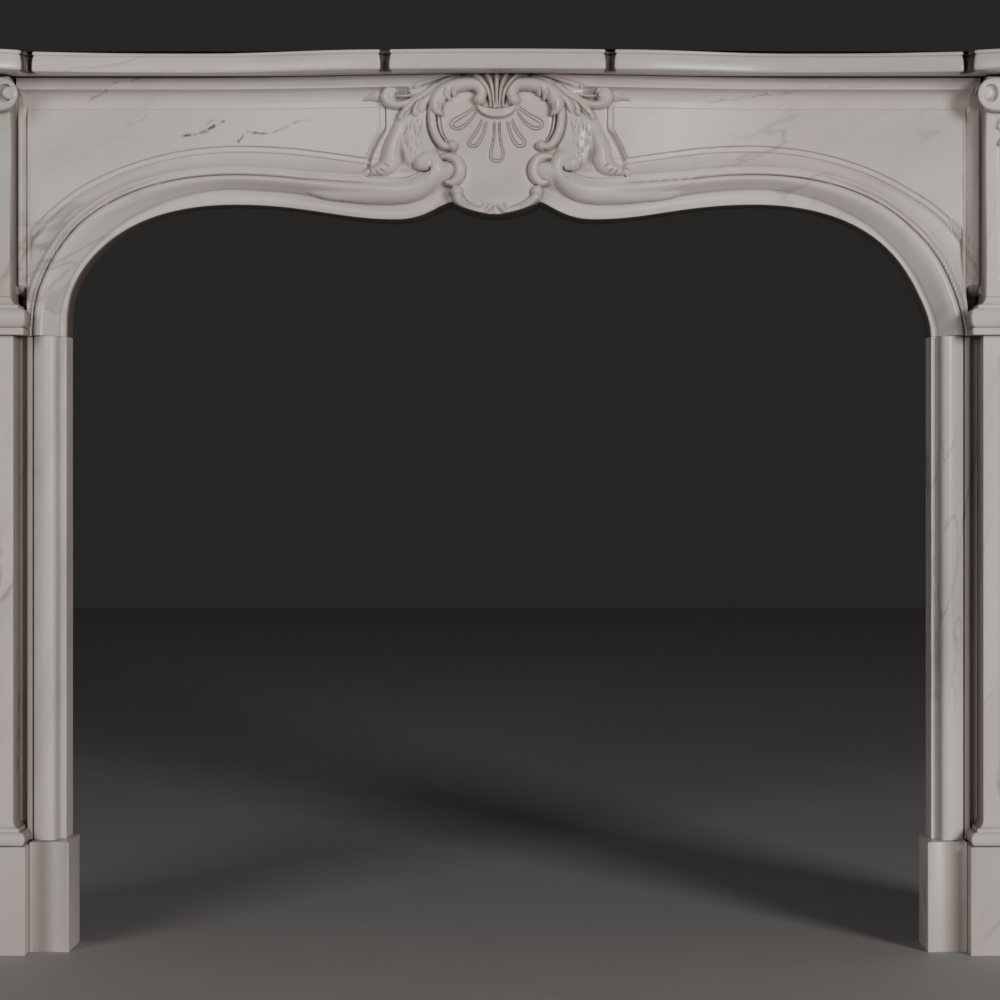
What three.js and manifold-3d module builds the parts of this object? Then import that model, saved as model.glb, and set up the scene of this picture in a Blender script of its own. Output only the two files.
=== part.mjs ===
// A marble chimneypiece in the Louis XV manner: a serpentine shelf over a carved, arched frieze,
// moulded jambs round the fire opening, and panelled pilasters with scrolled consoles on foot blocks.
// Millimetres, +Z up, the front towards -Y. The origin is on the floor under the middle of the object.
// Depths are measured forward from the wall face, and x is measured out from the middle line.
import * as THREE from "three";
import { mergeVertices } from "three/addons/utils/BufferGeometryUtils.js";
import Module from "manifold-3d";

const wasm = await Module();
wasm.setup();

// Opening and heights
const openingHalfWidth = 543.5;
const springHeight = 768.5;
const shoulderInset = 44.5;
const shoulderRise = 60;
const crownInset = 214.5;
const crownRise = 165.5;
const dipX = 122;
const dipRise = 145;
const notchX = 54.5;
const notchRise = 166.5;
const lobeRise = 149.7;
const friezeHeight = 322.5;
const shelfThickness = 25;
const jointGap = 0.3;

// Foot blocks
const footHeight = 134;
const innerFootExtra = 3;
const innerFootReveal = 8.5;
const footProjection = 18;
const arrisChamfer = 1.5;

// Jambs, recesses and pilasters
const jambWidth = 45;
const recessWidth = 14.5;
const pilasterWidth = 150;
const pilasterDepth = 190;
const jambBackDepth = 95;
const jambArrisDepth = 148;
const jambRollHeight = 19;
const innerFootDepth = 182;
const recessDepth = 122;
const baseHeight = 24;
const baseProjection = 17;
const panelMargin = 19;
const panelTopMargin = 25;
const panelFootMargin = 31;
const panelSink = 6;
const panelSlope = 7;

// Frieze
const fieldDepth = 155;
const bandDepth = 170;
const bandHeight = 15;
const coveHeight = 22.5;
const bowDepth = 38;
const bowHalfWidth = 392;
const archDrift = 5;
const driftFade = 60;
const mouldingWidth = 74;
const archRollHeight = 19;
const frameWidth = 20;
const frameRoll = 6;
const frameFoot = 40;
const splayEdge = 44;
const splayHeight = 70;
const slabSink = 8;

// The head's roll by share of its moulded length: where its valley and its quirk lie
const rollSections = [
  { at: 0, valley: 8, groove: 39 },
  { at: 0.3, valley: 22, groove: 42 },
  { at: 0.62, valley: 18.5, groove: 35 },
  { at: 1, valley: 16, groove: 44 },
];

// Share of the head's length at which its moulding dies behind the cartouche
const mouldingEnd = 0.83;

// Console
const consoleFootHeight = 40;
const consoleNeck = 8;
const consoleHead = 34;
const voluteRadius = 20;
const voluteDepth = 24;
const voluteOverhang = 9.5;
const voluteDrop = 6;
const plinthHeight = 7;
const leafHeight = 106;
const leafDrop = 4;

// Shelf
const shelfOverhang = 37;
const shelfCentreDepth = 257;
const shelfWaistDepth = 216;
const shelfCornerDepth = 268;
const shelfCornerRound = 22;
const centreSectionHalf = 138;
const cornerSectionHalf = 97;
const centreSag = 7;
const cornerSag = 26;
const swellReach = 225;
const flareReach = 181;
const flareDepth = 15.36;
const notchRadius = 9;
const edgeBead = 5;
const edgeQuirk = 2.5;

// Facets
const bowSteps = 12;
const headSteps = 28;
const lobeSteps = 5;

// Where a stroke's cross-section turns, as shares of its half circle: rounded, or with one ridge
const roundArc = [0, 0.3, 0.7, 1];
const ridgeArc = [0, 0.5, 1];

const marble = { color: 0xcbc5c0, roughness: 0.32, metalness: 0 };

// Derived places
const overallDepth = shelfCornerDepth;
const jambOuter = openingHalfWidth + jambWidth;
const shaftInner = jambOuter + recessWidth;
const shaftOuter = shaftInner + pilasterWidth;
const shaftMiddle = (shaftInner + shaftOuter) / 2;
const footInner = shaftInner - footProjection;
const footOuter = shaftOuter + footProjection;
const footDepth = pilasterDepth + footProjection;
const innerFootHeight = footHeight + innerFootExtra;
const friezeTop = springHeight + friezeHeight;
const shelfHalfLength = shaftOuter + shelfOverhang;
const cornerSectionStart = shaftMiddle - cornerSectionHalf;
const wallY = overallDepth / 2;
const frontLimit = bandDepth + bowDepth + 20;

// The carving is drawn in units, 172.8 of them from the middle lobe to the top of the frieze
const unit = (friezeHeight - lobeRise) / 172.8;
const carvedHeight = (rise) => springHeight + lobeRise + rise * unit;

const yAt = (depth) => wallY - depth;
const smooth = (t) => {
  const u = THREE.MathUtils.clamp(t, 0, 1);
  return u * u * (3 - 2 * u);
};
const mix = (a, b, t) => a + (b - a) * t;

// How far the frieze bows forward of its straight ends at a place along it
function bow(x) {
  const u = Math.min(1, Math.abs(x) / bowHalfWidth);
  return bowDepth * Math.cos((u * Math.PI) / 2) ** 2;
}

// Places along the frieze where every bowed layer turns, out to its own ends
function bowPlaces(halfWidth) {
  const inner = [];
  for (let i = 0; i <= bowSteps; i += 1) inner.push(mix(-bowHalfWidth, bowHalfWidth, i / bowSteps));
  return [-halfWidth, ...inner, halfWidth];
}

// The arch was set out by hand a little to the left, fading out at the springing
const drift = (x) => -archDrift * smooth((openingHalfWidth - Math.abs(x)) / driftFade);

// Solids
function solid(geometry) {
  const bare = geometry.index ? geometry.toNonIndexed() : geometry.clone();
  for (const name of Object.keys(bare.attributes)) {
    if (name !== "position") bare.deleteAttribute(name);
  }
  const merged = mergeVertices(bare, 1e-4);
  return new wasm.Manifold(
    new wasm.Mesh({
      numProp: 3,
      vertProperties: new Float32Array(merged.attributes.position.array),
      triVerts: new Uint32Array(merged.index.array),
    }),
  );
}

function geometryOf(body) {
  const mesh = body.getMesh();
  const positions = new Float32Array((mesh.vertProperties.length / mesh.numProp) * 3);
  for (let i = 0; i < positions.length / 3; i += 1) {
    for (let k = 0; k < 3; k += 1) positions[3 * i + k] = mesh.vertProperties[mesh.numProp * i + k];
  }
  const geometry = new THREE.BufferGeometry();
  geometry.setAttribute("position", new THREE.BufferAttribute(positions, 3));
  geometry.setIndex(new THREE.BufferAttribute(new Uint32Array(mesh.triVerts), 1));
  geometry.computeVertexNormals();
  return geometry;
}

const join = (bodies) => bodies.reduce((whole, body) => whole.add(body));

// A closed skin over rings of equal length, each ring counter-clockwise seen from the last ring
function skin(rings) {
  const count = rings[0].length;
  const positions = rings.flat().flatMap((p) => [p.x, p.y, p.z]);
  const faces = [];
  for (let i = 0; i < rings.length - 1; i += 1) {
    for (let j = 0; j < count; j += 1) {
      const a = i * count + j;
      const b = i * count + ((j + 1) % count);
      faces.push(a, b, b + count, a, b + count, a + count);
    }
  }
  const capFaces = (ring) => {
    const origin = ring[0];
    const across = new THREE.Vector3();
    ring.forEach((p, i) => across.add(p.clone().cross(ring[(i + 1) % count])));
    across.normalize();
    const side = Math.abs(across.z) > 0.7 ? new THREE.Vector3(1, 0, 0) : new THREE.Vector3(0, 0, 1);
    const u = new THREE.Vector3().crossVectors(side, across).normalize();
    const v = new THREE.Vector3().crossVectors(across, u);
    const flat = ring.map((p) => {
      const q = p.clone().sub(origin);
      return new THREE.Vector2(q.dot(u), q.dot(v));
    });
    return THREE.ShapeUtils.triangulateShape(flat, []);
  };
  const last = (rings.length - 1) * count;
  for (const [a, b, c] of capFaces(rings[0])) faces.push(c, b, a);
  for (const [a, b, c] of capFaces(rings[rings.length - 1])) faces.push(last + a, last + b, last + c);
  const geometry = new THREE.BufferGeometry();
  geometry.setAttribute("position", new THREE.Float32BufferAttribute(positions, 3));
  geometry.setIndex(faces);
  const body = solid(geometry);
  return body.volume() < 0 ? solid(turned(geometry)) : body;
}

// The same skin with its faces turned round
function turned(geometry) {
  const index = Array.from(geometry.index.array);
  for (let i = 0; i < index.length; i += 3) [index[i + 1], index[i + 2]] = [index[i + 2], index[i + 1]];
  return geometry.clone().setIndex(index);
}

// A box given by its ranges of x, depth and height
function block([x0, x1], [d0, d1], [z0, z1]) {
  const geometry = new THREE.BoxGeometry(x1 - x0, d1 - d0, z1 - z0);
  return solid(geometry.translate((x0 + x1) / 2, yAt((d0 + d1) / 2), (z0 + z1) / 2));
}

// A prism whose outline is drawn in plan, as pairs of x and depth
function planPrism(outline, z0, z1) {
  const shape = new THREE.Shape(outline.map(([x, depth]) => new THREE.Vector2(x, yAt(depth))));
  const geometry = new THREE.ExtrudeGeometry(shape, { depth: z1 - z0, bevelEnabled: false });
  return solid(geometry.translate(0, 0, z0));
}

// A prism whose outline is drawn on the front, as pairs of x and height
function frontPrism(outline, d0, d1) {
  const shape = new THREE.Shape(outline.map(([x, z]) => new THREE.Vector2(x, z)));
  const geometry = new THREE.ExtrudeGeometry(shape, { depth: d1 - d0, bevelEnabled: false });
  return solid(geometry.rotateX(Math.PI / 2).translate(0, yAt(d0), 0));
}

// A prism whose outline is drawn on the side, as pairs of depth and height
function sidePrism(outline, x0, x1) {
  const ring = (x) => outline.map(([depth, z]) => new THREE.Vector3(x, yAt(depth), z));
  return skin([ring(x0), ring(x1)]);
}

// Rectangles stacked up a height, each spread past the plan by its own offset, the back kept at the wall
function stack([x0, x1], depth, levels) {
  return skin(
    levels.map(({ z, spread }) => [
      new THREE.Vector3(x0 - spread, yAt(0), z),
      new THREE.Vector3(x0 - spread, yAt(depth + spread), z),
      new THREE.Vector3(x1 + spread, yAt(depth + spread), z),
      new THREE.Vector3(x1 + spread, yAt(0), z),
    ]),
  );
}

const mirrored = (body) => body.mirror([1, 0, 0]);

// Foot blocks
function outerFoot() {
  const levels = [
    { z: 0, spread: 0 },
    { z: footHeight - arrisChamfer, spread: 0 },
    { z: footHeight, spread: -arrisChamfer },
  ];
  return stack([footInner, footOuter], footDepth, levels);
}

function innerFoot() {
  const x0 = openingHalfWidth - innerFootReveal;
  const x1 = footInner - jointGap;
  const c = arrisChamfer;
  const outline = [
    [x0, jambBackDepth],
    [x0, innerFootDepth - c],
    [x0 + c, innerFootDepth],
    [x1, innerFootDepth],
    [x1, jambBackDepth],
  ];
  return planPrism(outline, 0, innerFootHeight);
}

// Distances of the valley and of the quirk out from the opening edge, at a share of the moulded head
function sectionAt(t) {
  const next = Math.max(1, rollSections.findIndex((s) => s.at >= t));
  const [a, b] = [rollSections[next - 1], rollSections[next]];
  const u = smooth((t - a.at) / (b.at - a.at));
  return { valley: mix(a.valley, b.valley, u), groove: mix(a.groove, b.groove, u) };
}

// Fascia, valley and roll from the opening edge to the quirk behind the roll
function rollProfile({ valley, groove }, rise) {
  const points = [
    [0, jambArrisDepth],
    [valley * 0.5, jambArrisDepth - 1.5],
    [valley, jambArrisDepth - 2],
  ];
  const steps = 5;
  for (let i = 1; i < steps; i += 1) {
    const angle = (Math.PI * i) / steps;
    const d = mix(valley, groove, (1 - Math.cos(angle)) / 2);
    const base = mix(jambArrisDepth - 2, jambArrisDepth + rise * 0.6, i / steps);
    points.push([d, Math.max(base, jambArrisDepth + rise * Math.sin(angle) ** 0.8)]);
  }
  points.push([groove, jambArrisDepth + rise * 0.55]);
  return points;
}

function innerJamb() {
  const roll = rollProfile(rollSections[0], jambRollHeight);
  const outline = [
    [0, jambBackDepth],
    ...roll,
    [rollSections[0].groove + 1, jambArrisDepth],
    [jambWidth, jambArrisDepth],
    [jambWidth, recessDepth],
    [jambWidth + recessWidth - jointGap, recessDepth],
    [jambWidth + recessWidth - jointGap, jambBackDepth],
  ].map(([d, depth]) => [openingHalfWidth + d, depth]);
  return planPrism(outline, innerFootHeight + jointGap, springHeight - jointGap / 2);
}

// Half of the opening's head, from the springing over the crown to the notch beside the middle lobe
function headCurve() {
  const path = new THREE.Path();
  const at = (x, rise) => [x, springHeight + rise];
  const crownX = openingHalfWidth - crownInset;
  path.moveTo(...at(openingHalfWidth, 0));
  path.bezierCurveTo(
    ...at(openingHalfWidth, shoulderRise),
    ...at(openingHalfWidth - shoulderInset, crownRise),
    ...at(crownX, crownRise),
  );
  path.bezierCurveTo(
    ...at(mix(crownX, dipX, 0.435), crownRise),
    ...at(mix(dipX, crownX, 0.338), dipRise),
    ...at(dipX, dipRise),
  );
  path.bezierCurveTo(
    ...at(dipX - 35, dipRise),
    ...at(notchX + 18, notchRise - 5),
    ...at(notchX, notchRise),
  );
  return path;
}

function lobeCurve() {
  const path = new THREE.Path();
  path.moveTo(notchX, springHeight + notchRise);
  path.bezierCurveTo(
    notchX - 10,
    springHeight + notchRise - 9,
    18,
    springHeight + lobeRise,
    0,
    springHeight + lobeRise,
  );
  return path;
}

const drifted = ([x, z], side) => {
  const placed = side * x;
  return [placed + drift(placed), z];
};

// The whole lower edge of the frieze, from the left springing to the right one
function headOutline() {
  const half = [
    ...headCurve().getSpacedPoints(headSteps),
    ...lobeCurve().getSpacedPoints(lobeSteps).slice(1),
  ].map((p) => [p.x, p.y]);
  const left = half.map((p) => drifted(p, -1));
  const right = half.map((p) => drifted(p, 1)).reverse().slice(1);
  return [...left, ...right];
}

// Plan of a layer of the frieze that stands at one depth over the whole bow
function bowedPlan(halfWidth, depth, backDepth) {
  const front = bowPlaces(halfWidth).map((x) => [x, depth + bow(x)]);
  return [[-halfWidth, backDepth], ...front, [halfWidth, backDepth]];
}

// A point on the head offset outwards, with the direction of the offset
function headFrames() {
  const path = headCurve();
  const frames = [];
  for (let i = 0; i <= headSteps; i += 1) {
    const t = i / headSteps;
    const p = path.getPointAt(t);
    const tangent = path.getTangentAt(t);
    frames.push({ t, p, out: new THREE.Vector2(tangent.y, -tangent.x) });
  }
  return frames;
}

// The moulding round the head: fascia, valley, roll, quirk, fillet and cavetto up to the field
function archMoulding(side) {
  const rings = headFrames().map(({ t, p, out }) => {
    const section = sectionAt(Math.min(1, t / mouldingEnd));
    const fade = smooth((t - mouldingEnd + 0.04) / 0.08);
    const fillet = section.groove + 2;
    const profile = [
      ...rollProfile(section, archRollHeight),
      [fillet, fieldDepth + 8],
      [fillet + 6, fieldDepth + 6],
      [mix(fillet + 6, mouldingWidth, 0.45), fieldDepth - 1.5],
      [mouldingWidth - 9, fieldDepth - 2.5],
      [mouldingWidth + 2, fieldDepth - 0.5],
    ];
    const limit = jambOuter - 1;
    const place = ([d, depth]) => {
      const x = Math.min(p.x + out.x * d, limit);
      const placed = side * x + drift(side * x);
      return new THREE.Vector3(placed, yAt(depth + bow(placed)), p.y + out.y * d);
    };
    const front = profile.map(([d, depth]) => place([d, mix(depth, jambArrisDepth - 2, fade)]));
    const floor = [
      [mouldingWidth + 2, jambArrisDepth - 12],
      [0.01, jambArrisDepth - 12],
    ].map(place);
    return [...front, ...floor];
  });
  return skin(rings);
}

// A raised stroke of carving: a rounded ridge along a smooth line
// Each stop is x, height over the lobe, width and rise over the stroke's ground, in units of the drawing.
function stroke(stops, options = {}) {
  const { ground = fieldDepth, lift = 0, side = 1, steps = 7, sink = 14, arc = roundArc } = options;
  const base = ground + lift * unit;
  const line = new THREE.SplineCurve(stops.map(([x, h]) => new THREE.Vector2(x * unit, carvedHeight(h))));
  const sizes = new THREE.SplineCurve(stops.map(([, , w, r]) => new THREE.Vector2(w * unit, r * unit)));
  const rings = [];
  for (let i = 0; i <= steps; i += 1) {
    const t = i / steps;
    const p = line.getPoint(t);
    const across = line.getTangent(t).rotateAround(new THREE.Vector2(), Math.PI / 2);
    const size = sizes.getPoint(t);
    const place = (u, depth) => {
      const x = side * (p.x + across.x * u * size.x) + drift(0);
      return new THREE.Vector3(x, yAt(depth + bow(x)), p.y + across.y * u * size.x);
    };
    const crest = arc.map((a) => {
      const swell = Math.sin(Math.PI * a) ** 0.7;
      return place(-Math.cos(Math.PI * a) / 2, base + size.y * swell);
    });
    rings.push([...crest, place(0.5, base - sink * unit), place(-0.5, base - sink * unit)]);
  }
  return skin(rings);
}

// A rounded knob that ends a scroll
function knob(x, rise, radius, { ground = fieldDepth, lift = 0, side = 1 } = {}) {
  const placed = side * x * unit + drift(0);
  const depth = ground + lift * unit + bow(placed);
  const geometry = new THREE.SphereGeometry(radius * unit, 6, 4).rotateX(Math.PI / 2);
  return solid(geometry.scale(1, 0.9, 1).translate(placed, yAt(depth), carvedHeight(rise)));
}

// One half of the cartouche
function cartoucheHalf(side) {
  const on = { side };
  const raised = { side, lift: 3 };
  const overBand = { side, ground: bandDepth, sink: 22 };
  const scrollC = [
    [19, 149.8, 11, 4],
    [26, 158.8, 15, 6],
    [40, 161.8, 18, 8],
    [57, 158.8, 18, 8],
    [71, 151.8, 17, 7],
    [78, 140.8, 17, 5],
    [76, 130.8, 13, 3],
    [71, 122.8, 4, -2],
  ];
  const frameC = [
    [79, 133.8, 11, 9],
    [81.5, 110.8, 13, 11],
    [77, 94.8, 13, 12],
    [67.5, 84.8, 11, 12],
    [57, 84.8, 8, 11],
  ];
  const lowerC = [
    [63, 69.8, 9, 9],
    [52, 73.8, 11, 11],
    [42, 62.8, 12, 13],
    [41, 49.8, 12, 13],
    [49, 39.8, 11, 11],
    [61, 40.8, 7, 8],
  ];
  const footScroll = [
    [49, 23.8, 11, 11],
    [44, 15.8, 12, 11],
    [33, 7.8, 11, 9],
    [20, 3.3, 8, 6],
  ];
  const volute = [
    [214, 32.8, 18, 10],
    [168, 29.8, 24, 12],
    [128, 30.3, 29, 14],
    [98, 33.8, 28, 16],
    [78, 44.8, 22, 17],
    [73, 58.8, 19, 17],
    [78, 71.8, 17, 15],
    [88, 73.8, 15, 13],
  ];
  const neck = [
    [86, 154.8, 13, 8],
    [97, 145.8, 13, 10],
    [111, 138.8, 13, 11],
    [124, 134.8, 12, 12],
    [136, 138.8, 11, 12],
    [139, 147.8, 10, 12],
    [135, 155.8, 8, 10],
  ];
  const beak = [
    [142, 155.8, 11, 6],
    [151, 151.8, 12, 7],
    [165, 143.8, 2, 3],
  ];
  const leafTop = [
    [58, 168.8, 7, 4],
    [84, 164.8, 11, 4],
    [109, 157.8, 7, 1],
  ];
  const leafTips = [
    [[80, 154.8], [91, 138.8], [103, 123.8]],
    [[88, 155.8], [104, 136.8], [113, 119.8]],
    [[98, 150.8], [114, 131.8], [120, 117.8]],
  ];
  const innerTips = [
    [[70, 155.8], [63, 150.8], [58, 143.8]],
    [[60, 157.8], [56, 151.8], [53, 146.8]],
  ];
  const haunch = [
    [110, 125.8, 22, 5],
    [105, 106.8, 40, 8],
    [107, 84.8, 42, 8],
    [104, 66.8, 24, 6],
  ];
  const leg = [
    [128, 115.8, 10, 5],
    [130, 97.8, 16, 12],
    [140, 81.8, 17, 14],
    [146, 67.8, 20, 13],
    [147, 55.8, 22, 11],
  ];
  const toes = [
    [[150, 61.8], [158, 54.8], [167, 50.8]],
    [[143, 61.8], [149, 52.8], [155, 47.8]],
    [[136, 61.8], [140, 52.8], [144, 46.8]],
    [[128, 63.8], [130, 54.8], [133, 48.8]],
  ];
  const leaf = (line, width, rise) =>
    stroke(
      line.map(([x, h], i) => [x, h, width * [0.7, 1, 0.3][i], rise * [0.8, 1, 0.4][i]]),
      { ...raised, steps: 3, arc: ridgeArc },
    );
  return [
    stroke(scrollC, { ...overBand, steps: 10 }),
    knob(20, 142.8, 7.5, { side, ground: bandDepth, lift: -2 }),
    stroke(frameC, { ...raised, steps: 6 }),
    knob(55, 85.8, 6.5, { side, lift: 8 }),
    stroke(lowerC, { ...raised, steps: 8 }),
    stroke(footScroll, { ...raised, steps: 4 }),
    knob(50, 27.8, 7.5, { side, lift: 6 }),
    stroke(volute, { side, lift: -2, steps: 10 }),
    knob(93, 62.8, 11, { side, lift: 6 }),
    stroke(neck, { ...on, steps: 8 }),
    knob(135, 151.8, 8.5, { side, lift: 6 }),
    stroke(beak, { ...on, steps: 2, arc: ridgeArc }),
    stroke(leafTop, { ...overBand, steps: 3, arc: ridgeArc }),
    stroke(haunch, { ...on, steps: 4 }),
    stroke(leg, { ...on, steps: 6 }),
    ...leafTips.map((line) => leaf(line, 15, 14)),
    ...innerTips.map((line) => leaf(line, 9, 8)),
    ...toes.map((line) => leaf(line, 8, 11)),
  ];
}

// The shield, its collar, the reeds above and the petals below
function cartoucheMiddle() {
  const shield = [
    [22, 161.8],
    [60, 159.8],
    [78, 133.8],
    [78, 95.8],
    [55, 73.8],
    [42, 53.8],
    [50, 29.8],
    [34, 5.8],
    [0, 0.5],
  ];
  const edge = (side) => shield.map(([x, h]) => [side * x * unit + drift(0), carvedHeight(h)]);
  const outline = [...edge(-1), ...edge(1).slice(0, -1).reverse()].reverse();
  const rise = 4;
  const back = jambBackDepth + 5;
  const plate = frontPrism(outline, back, frontLimit).intersect(
    planPrism(bowedPlan(jambOuter, fieldDepth + rise * unit, back), springHeight, friezeTop),
  );
  const onShield = { lift: rise };
  const collar = stroke(
    [
      [-24, 134.8, 5, 6],
      [-13, 127.8, 13, 9],
      [0, 125.3, 15, 10],
      [13, 127.8, 13, 9],
      [24, 134.8, 5, 6],
    ],
    { ...onShield, steps: 6 },
  );
  const reeds = [-2, -1, 0, 1, 2].map((i) =>
    stroke(
      [
        [i * 4, 131.8, 5, -7],
        [i * 7, 151.8, 7, 1],
        [i * 13, 169.8, 10, 3],
      ],
      { ground: bandDepth, sink: 22, steps: 3, arc: ridgeArc },
    ),
  );
  const petals = [-62, -27, 0, 27, 62].map((degrees) => {
    const angle = THREE.MathUtils.degToRad(degrees);
    const [nearRadius, farRadius] = [9, degrees === 0 ? 57 : 43];
    const at = (radius) => [Math.sin(angle) * radius * 1.15, 125.8 - Math.cos(angle) * radius];
    return stroke(
      [
        [...at(nearRadius), 3, 1.5],
        [...at(mix(nearRadius, farRadius, 0.7)), 9, 2.5],
        [...at(farRadius), 4, 1.5],
      ],
      { ...onShield, steps: 3, arc: ridgeArc },
    );
  });
  const footLeaves = [-1, 1].map((side) =>
    stroke(
      [
        [2 * side, 12.8, 5, 5],
        [11 * side, 6.8, 9, 8],
        [24 * side, 2.3, 3, 4],
      ],
      { ...onShield, steps: 3, arc: ridgeArc },
    ),
  );
  return [plate, collar, ...reeds, ...petals, ...footLeaves];
}

// The flat field over the head moulding, up to the top of the frieze
function field() {
  const border = (side) =>
    headFrames()
      .filter(({ t }, i) => t <= mouldingEnd && i % 2 === 0)
      .map(({ p, out }) => drifted([p.x + out.x * mouldingWidth, p.y + out.y * mouldingWidth], side))
      .filter(([x]) => Math.abs(x) < jambOuter - 2);
  const leftBorder = border(-1);
  const rightBorder = border(1).reverse();
  const top = friezeTop - jointGap;
  const half = jambOuter - 1;
  const outline = [
    [-half, top],
    [-half, leftBorder[0][1] - 8],
    ...leftBorder,
    ...rightBorder,
    [half, leftBorder[0][1] - 8],
    [half, top],
  ];
  return frontPrism(outline, jambBackDepth, frontLimit).intersect(
    planPrism(bowedPlan(half, fieldDepth, jambBackDepth), springHeight, friezeTop),
  );
}

// The slab behind the mouldings, with the head of the opening cut out of its lower edge
function friezeSlab() {
  const half = jambOuter - 0.5;
  const outline = [
    ...headOutline(),
    [half, springHeight],
    [half, friezeTop - jointGap],
    [-half, friezeTop - jointGap],
    [-half, springHeight],
  ];
  return frontPrism(outline, jambBackDepth, frontLimit).intersect(
    planPrism(
      bowedPlan(half, jambArrisDepth - slabSink, jambBackDepth),
      springHeight + jointGap / 2,
      friezeTop - jointGap,
    ),
  );
}

// The straight band and cove under the shelf
function topBand() {
  const half = jambOuter + recessWidth - jointGap;
  const top = friezeTop - jointGap;
  const bandFoot = top - bandHeight;
  const coveFoot = bandFoot - coveHeight;
  const coveSteps = 3;
  const rings = bowPlaces(half).map((x) => {
    const lift = bow(x);
    const cove = [];
    for (let k = 0; k <= coveSteps; k += 1) {
      const angle = (Math.PI / 2) * (k / coveSteps);
      cove.push([
        mix(fieldDepth - 0.5, bandDepth - 1.5, 1 - Math.cos(angle)) + lift,
        mix(coveFoot, bandFoot, Math.sin(angle)),
      ]);
    }
    const section = [
      [jambBackDepth, top],
      [jambBackDepth, coveFoot],
      ...cove,
      [bandDepth + lift, bandFoot],
      [bandDepth + lift, top],
    ];
    return section.map(([depth, z]) => new THREE.Vector3(x, yAt(depth), z));
  });
  return skin(rings);
}

// The upright that frames the field beside each console: a fillet, a roll and a cove
function sideFrame() {
  const x = jambOuter;
  const outline = [
    [x - 7, jambBackDepth],
    [x - 7, fieldDepth + 1],
    [x - 4, fieldDepth + 2],
    [x - 3, fieldDepth + 0.5],
    [x - 1, fieldDepth + 1],
    [x + 2, fieldDepth + 5],
    [x + 5, fieldDepth + 5],
    [x + 8, fieldDepth + 1],
    [x + 10, fieldDepth - 12],
    [x + recessWidth - jointGap, recessDepth],
    [x + recessWidth - jointGap, jambBackDepth],
  ];
  const foot = springHeight + jointGap / 2;
  const upright = planPrism(outline, foot, friezeTop - jointGap - bandHeight);
  const splay = frontPrism(
    [
      [x - frameWidth, foot],
      [x + recessWidth, foot],
      [x + recessWidth, foot + splayEdge],
      [x + frameRoll, foot + splayHeight],
      [x - frameWidth, foot + splayHeight],
    ],
    recessDepth,
    bandDepth,
  );
  const lowFront = block(
    [x - frameWidth, x + recessWidth],
    [jambArrisDepth - 2, bandDepth],
    [foot - 1, foot + frameFoot],
  );
  return upright.subtract(splay.intersect(lowFront));
}

function frieze() {
  const frame = sideFrame();
  const half = shaftInner - jointGap;
  const whole = join([
    friezeSlab(),
    field(),
    topBand(),
    frame,
    mirrored(frame),
    archMoulding(-1),
    archMoulding(1),
    ...cartoucheMiddle(),
    ...cartoucheHalf(-1),
    ...cartoucheHalf(1),
  ]);
  return whole.intersect(block([-half, half], [0, overallDepth], [springHeight, friezeTop - jointGap]));
}

// The moulded foot of a pilaster or console: a torus with a small neck over it, then the shaft
function footLevels(z0, height) {
  const torus = height * 0.72;
  const levels = [{ z: z0, spread: baseProjection - 3 }];
  const steps = 6;
  for (let i = 0; i <= steps; i += 1) {
    const angle = (Math.PI * i) / steps - Math.PI / 2;
    levels.push({
      z: z0 + 1.5 + (torus / 2) * (1 + Math.sin(angle)),
      spread: baseProjection - 6 + 6 * Math.cos(angle),
    });
  }
  levels.push({ z: z0 + torus + 2, spread: 8 });
  levels.push({ z: z0 + torus + 5.5, spread: 7 });
  levels.push({ z: z0 + torus + 9, spread: 3 });
  levels.push({ z: z0 + torus + 14, spread: 0 });
  return levels;
}

// What keeps a moulded foot clear of the wing of the jamb beside it
const besideJamb = (z0, z1) =>
  block([footInner - 20, shaftInner], [-1, recessDepth + jointGap], [z0 - 1, z1 + 1]).add(
    block([footInner - 20, jambOuter + jointGap], [-1, jambArrisDepth + jointGap], [z0 - 1, z1 + 1]),
  );

function pilaster() {
  const z0 = footHeight + jointGap;
  const z1 = springHeight - jointGap / 2;
  const levels = [...footLevels(z0, baseHeight), { z: z1, spread: 0 }];
  const body = stack([shaftInner, shaftOuter], pilasterDepth, levels);
  const panelRing = (inset, depth) => {
    const [x0, x1] = [shaftInner + panelMargin + inset, shaftOuter - panelMargin - inset];
    const [zLow, zHigh] = [z0 + baseHeight + panelFootMargin + inset, z1 - panelTopMargin - inset];
    return [
      new THREE.Vector3(x0, yAt(depth), zLow),
      new THREE.Vector3(x1, yAt(depth), zLow),
      new THREE.Vector3(x1, yAt(depth), zHigh),
      new THREE.Vector3(x0, yAt(depth), zHigh),
    ];
  };
  const panel = skin([
    panelRing(panelSlope, pilasterDepth - panelSink),
    panelRing(panelSlope * 0.7, pilasterDepth - panelSink * 0.5),
    panelRing(0, pilasterDepth - 1.5),
    panelRing(0, pilasterDepth + 1),
  ]);
  return body.subtract(panel).subtract(besideJamb(z0, z1));
}

// Side view of the console above its foot: a long hollow that swings out to the head
function consoleProfile(z0, z1) {
  const curve = new THREE.SplineCurve(
    [
      [pilasterDepth + 2, z0],
      [pilasterDepth + consoleNeck, mix(z0, z1, 0.2)],
      [pilasterDepth + consoleNeck * 0.6, mix(z0, z1, 0.5)],
      [pilasterDepth, mix(z0, z1, 0.72)],
      [pilasterDepth + 6, z1 - 2 * voluteRadius - 12],
      [pilasterDepth + consoleHead * 0.55, z1 - 2 * voluteRadius + 2],
    ].map(([depth, z]) => new THREE.Vector2(depth, z)),
  );
  return [
    [0, z0],
    ...curve.getPoints(10).map((p) => [p.x, p.y]),
    [pilasterDepth + consoleHead * 0.55, z1 - voluteDrop],
    [pilasterDepth + consoleHead * 0.35, z1],
    [0, z1],
  ];
}

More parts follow.
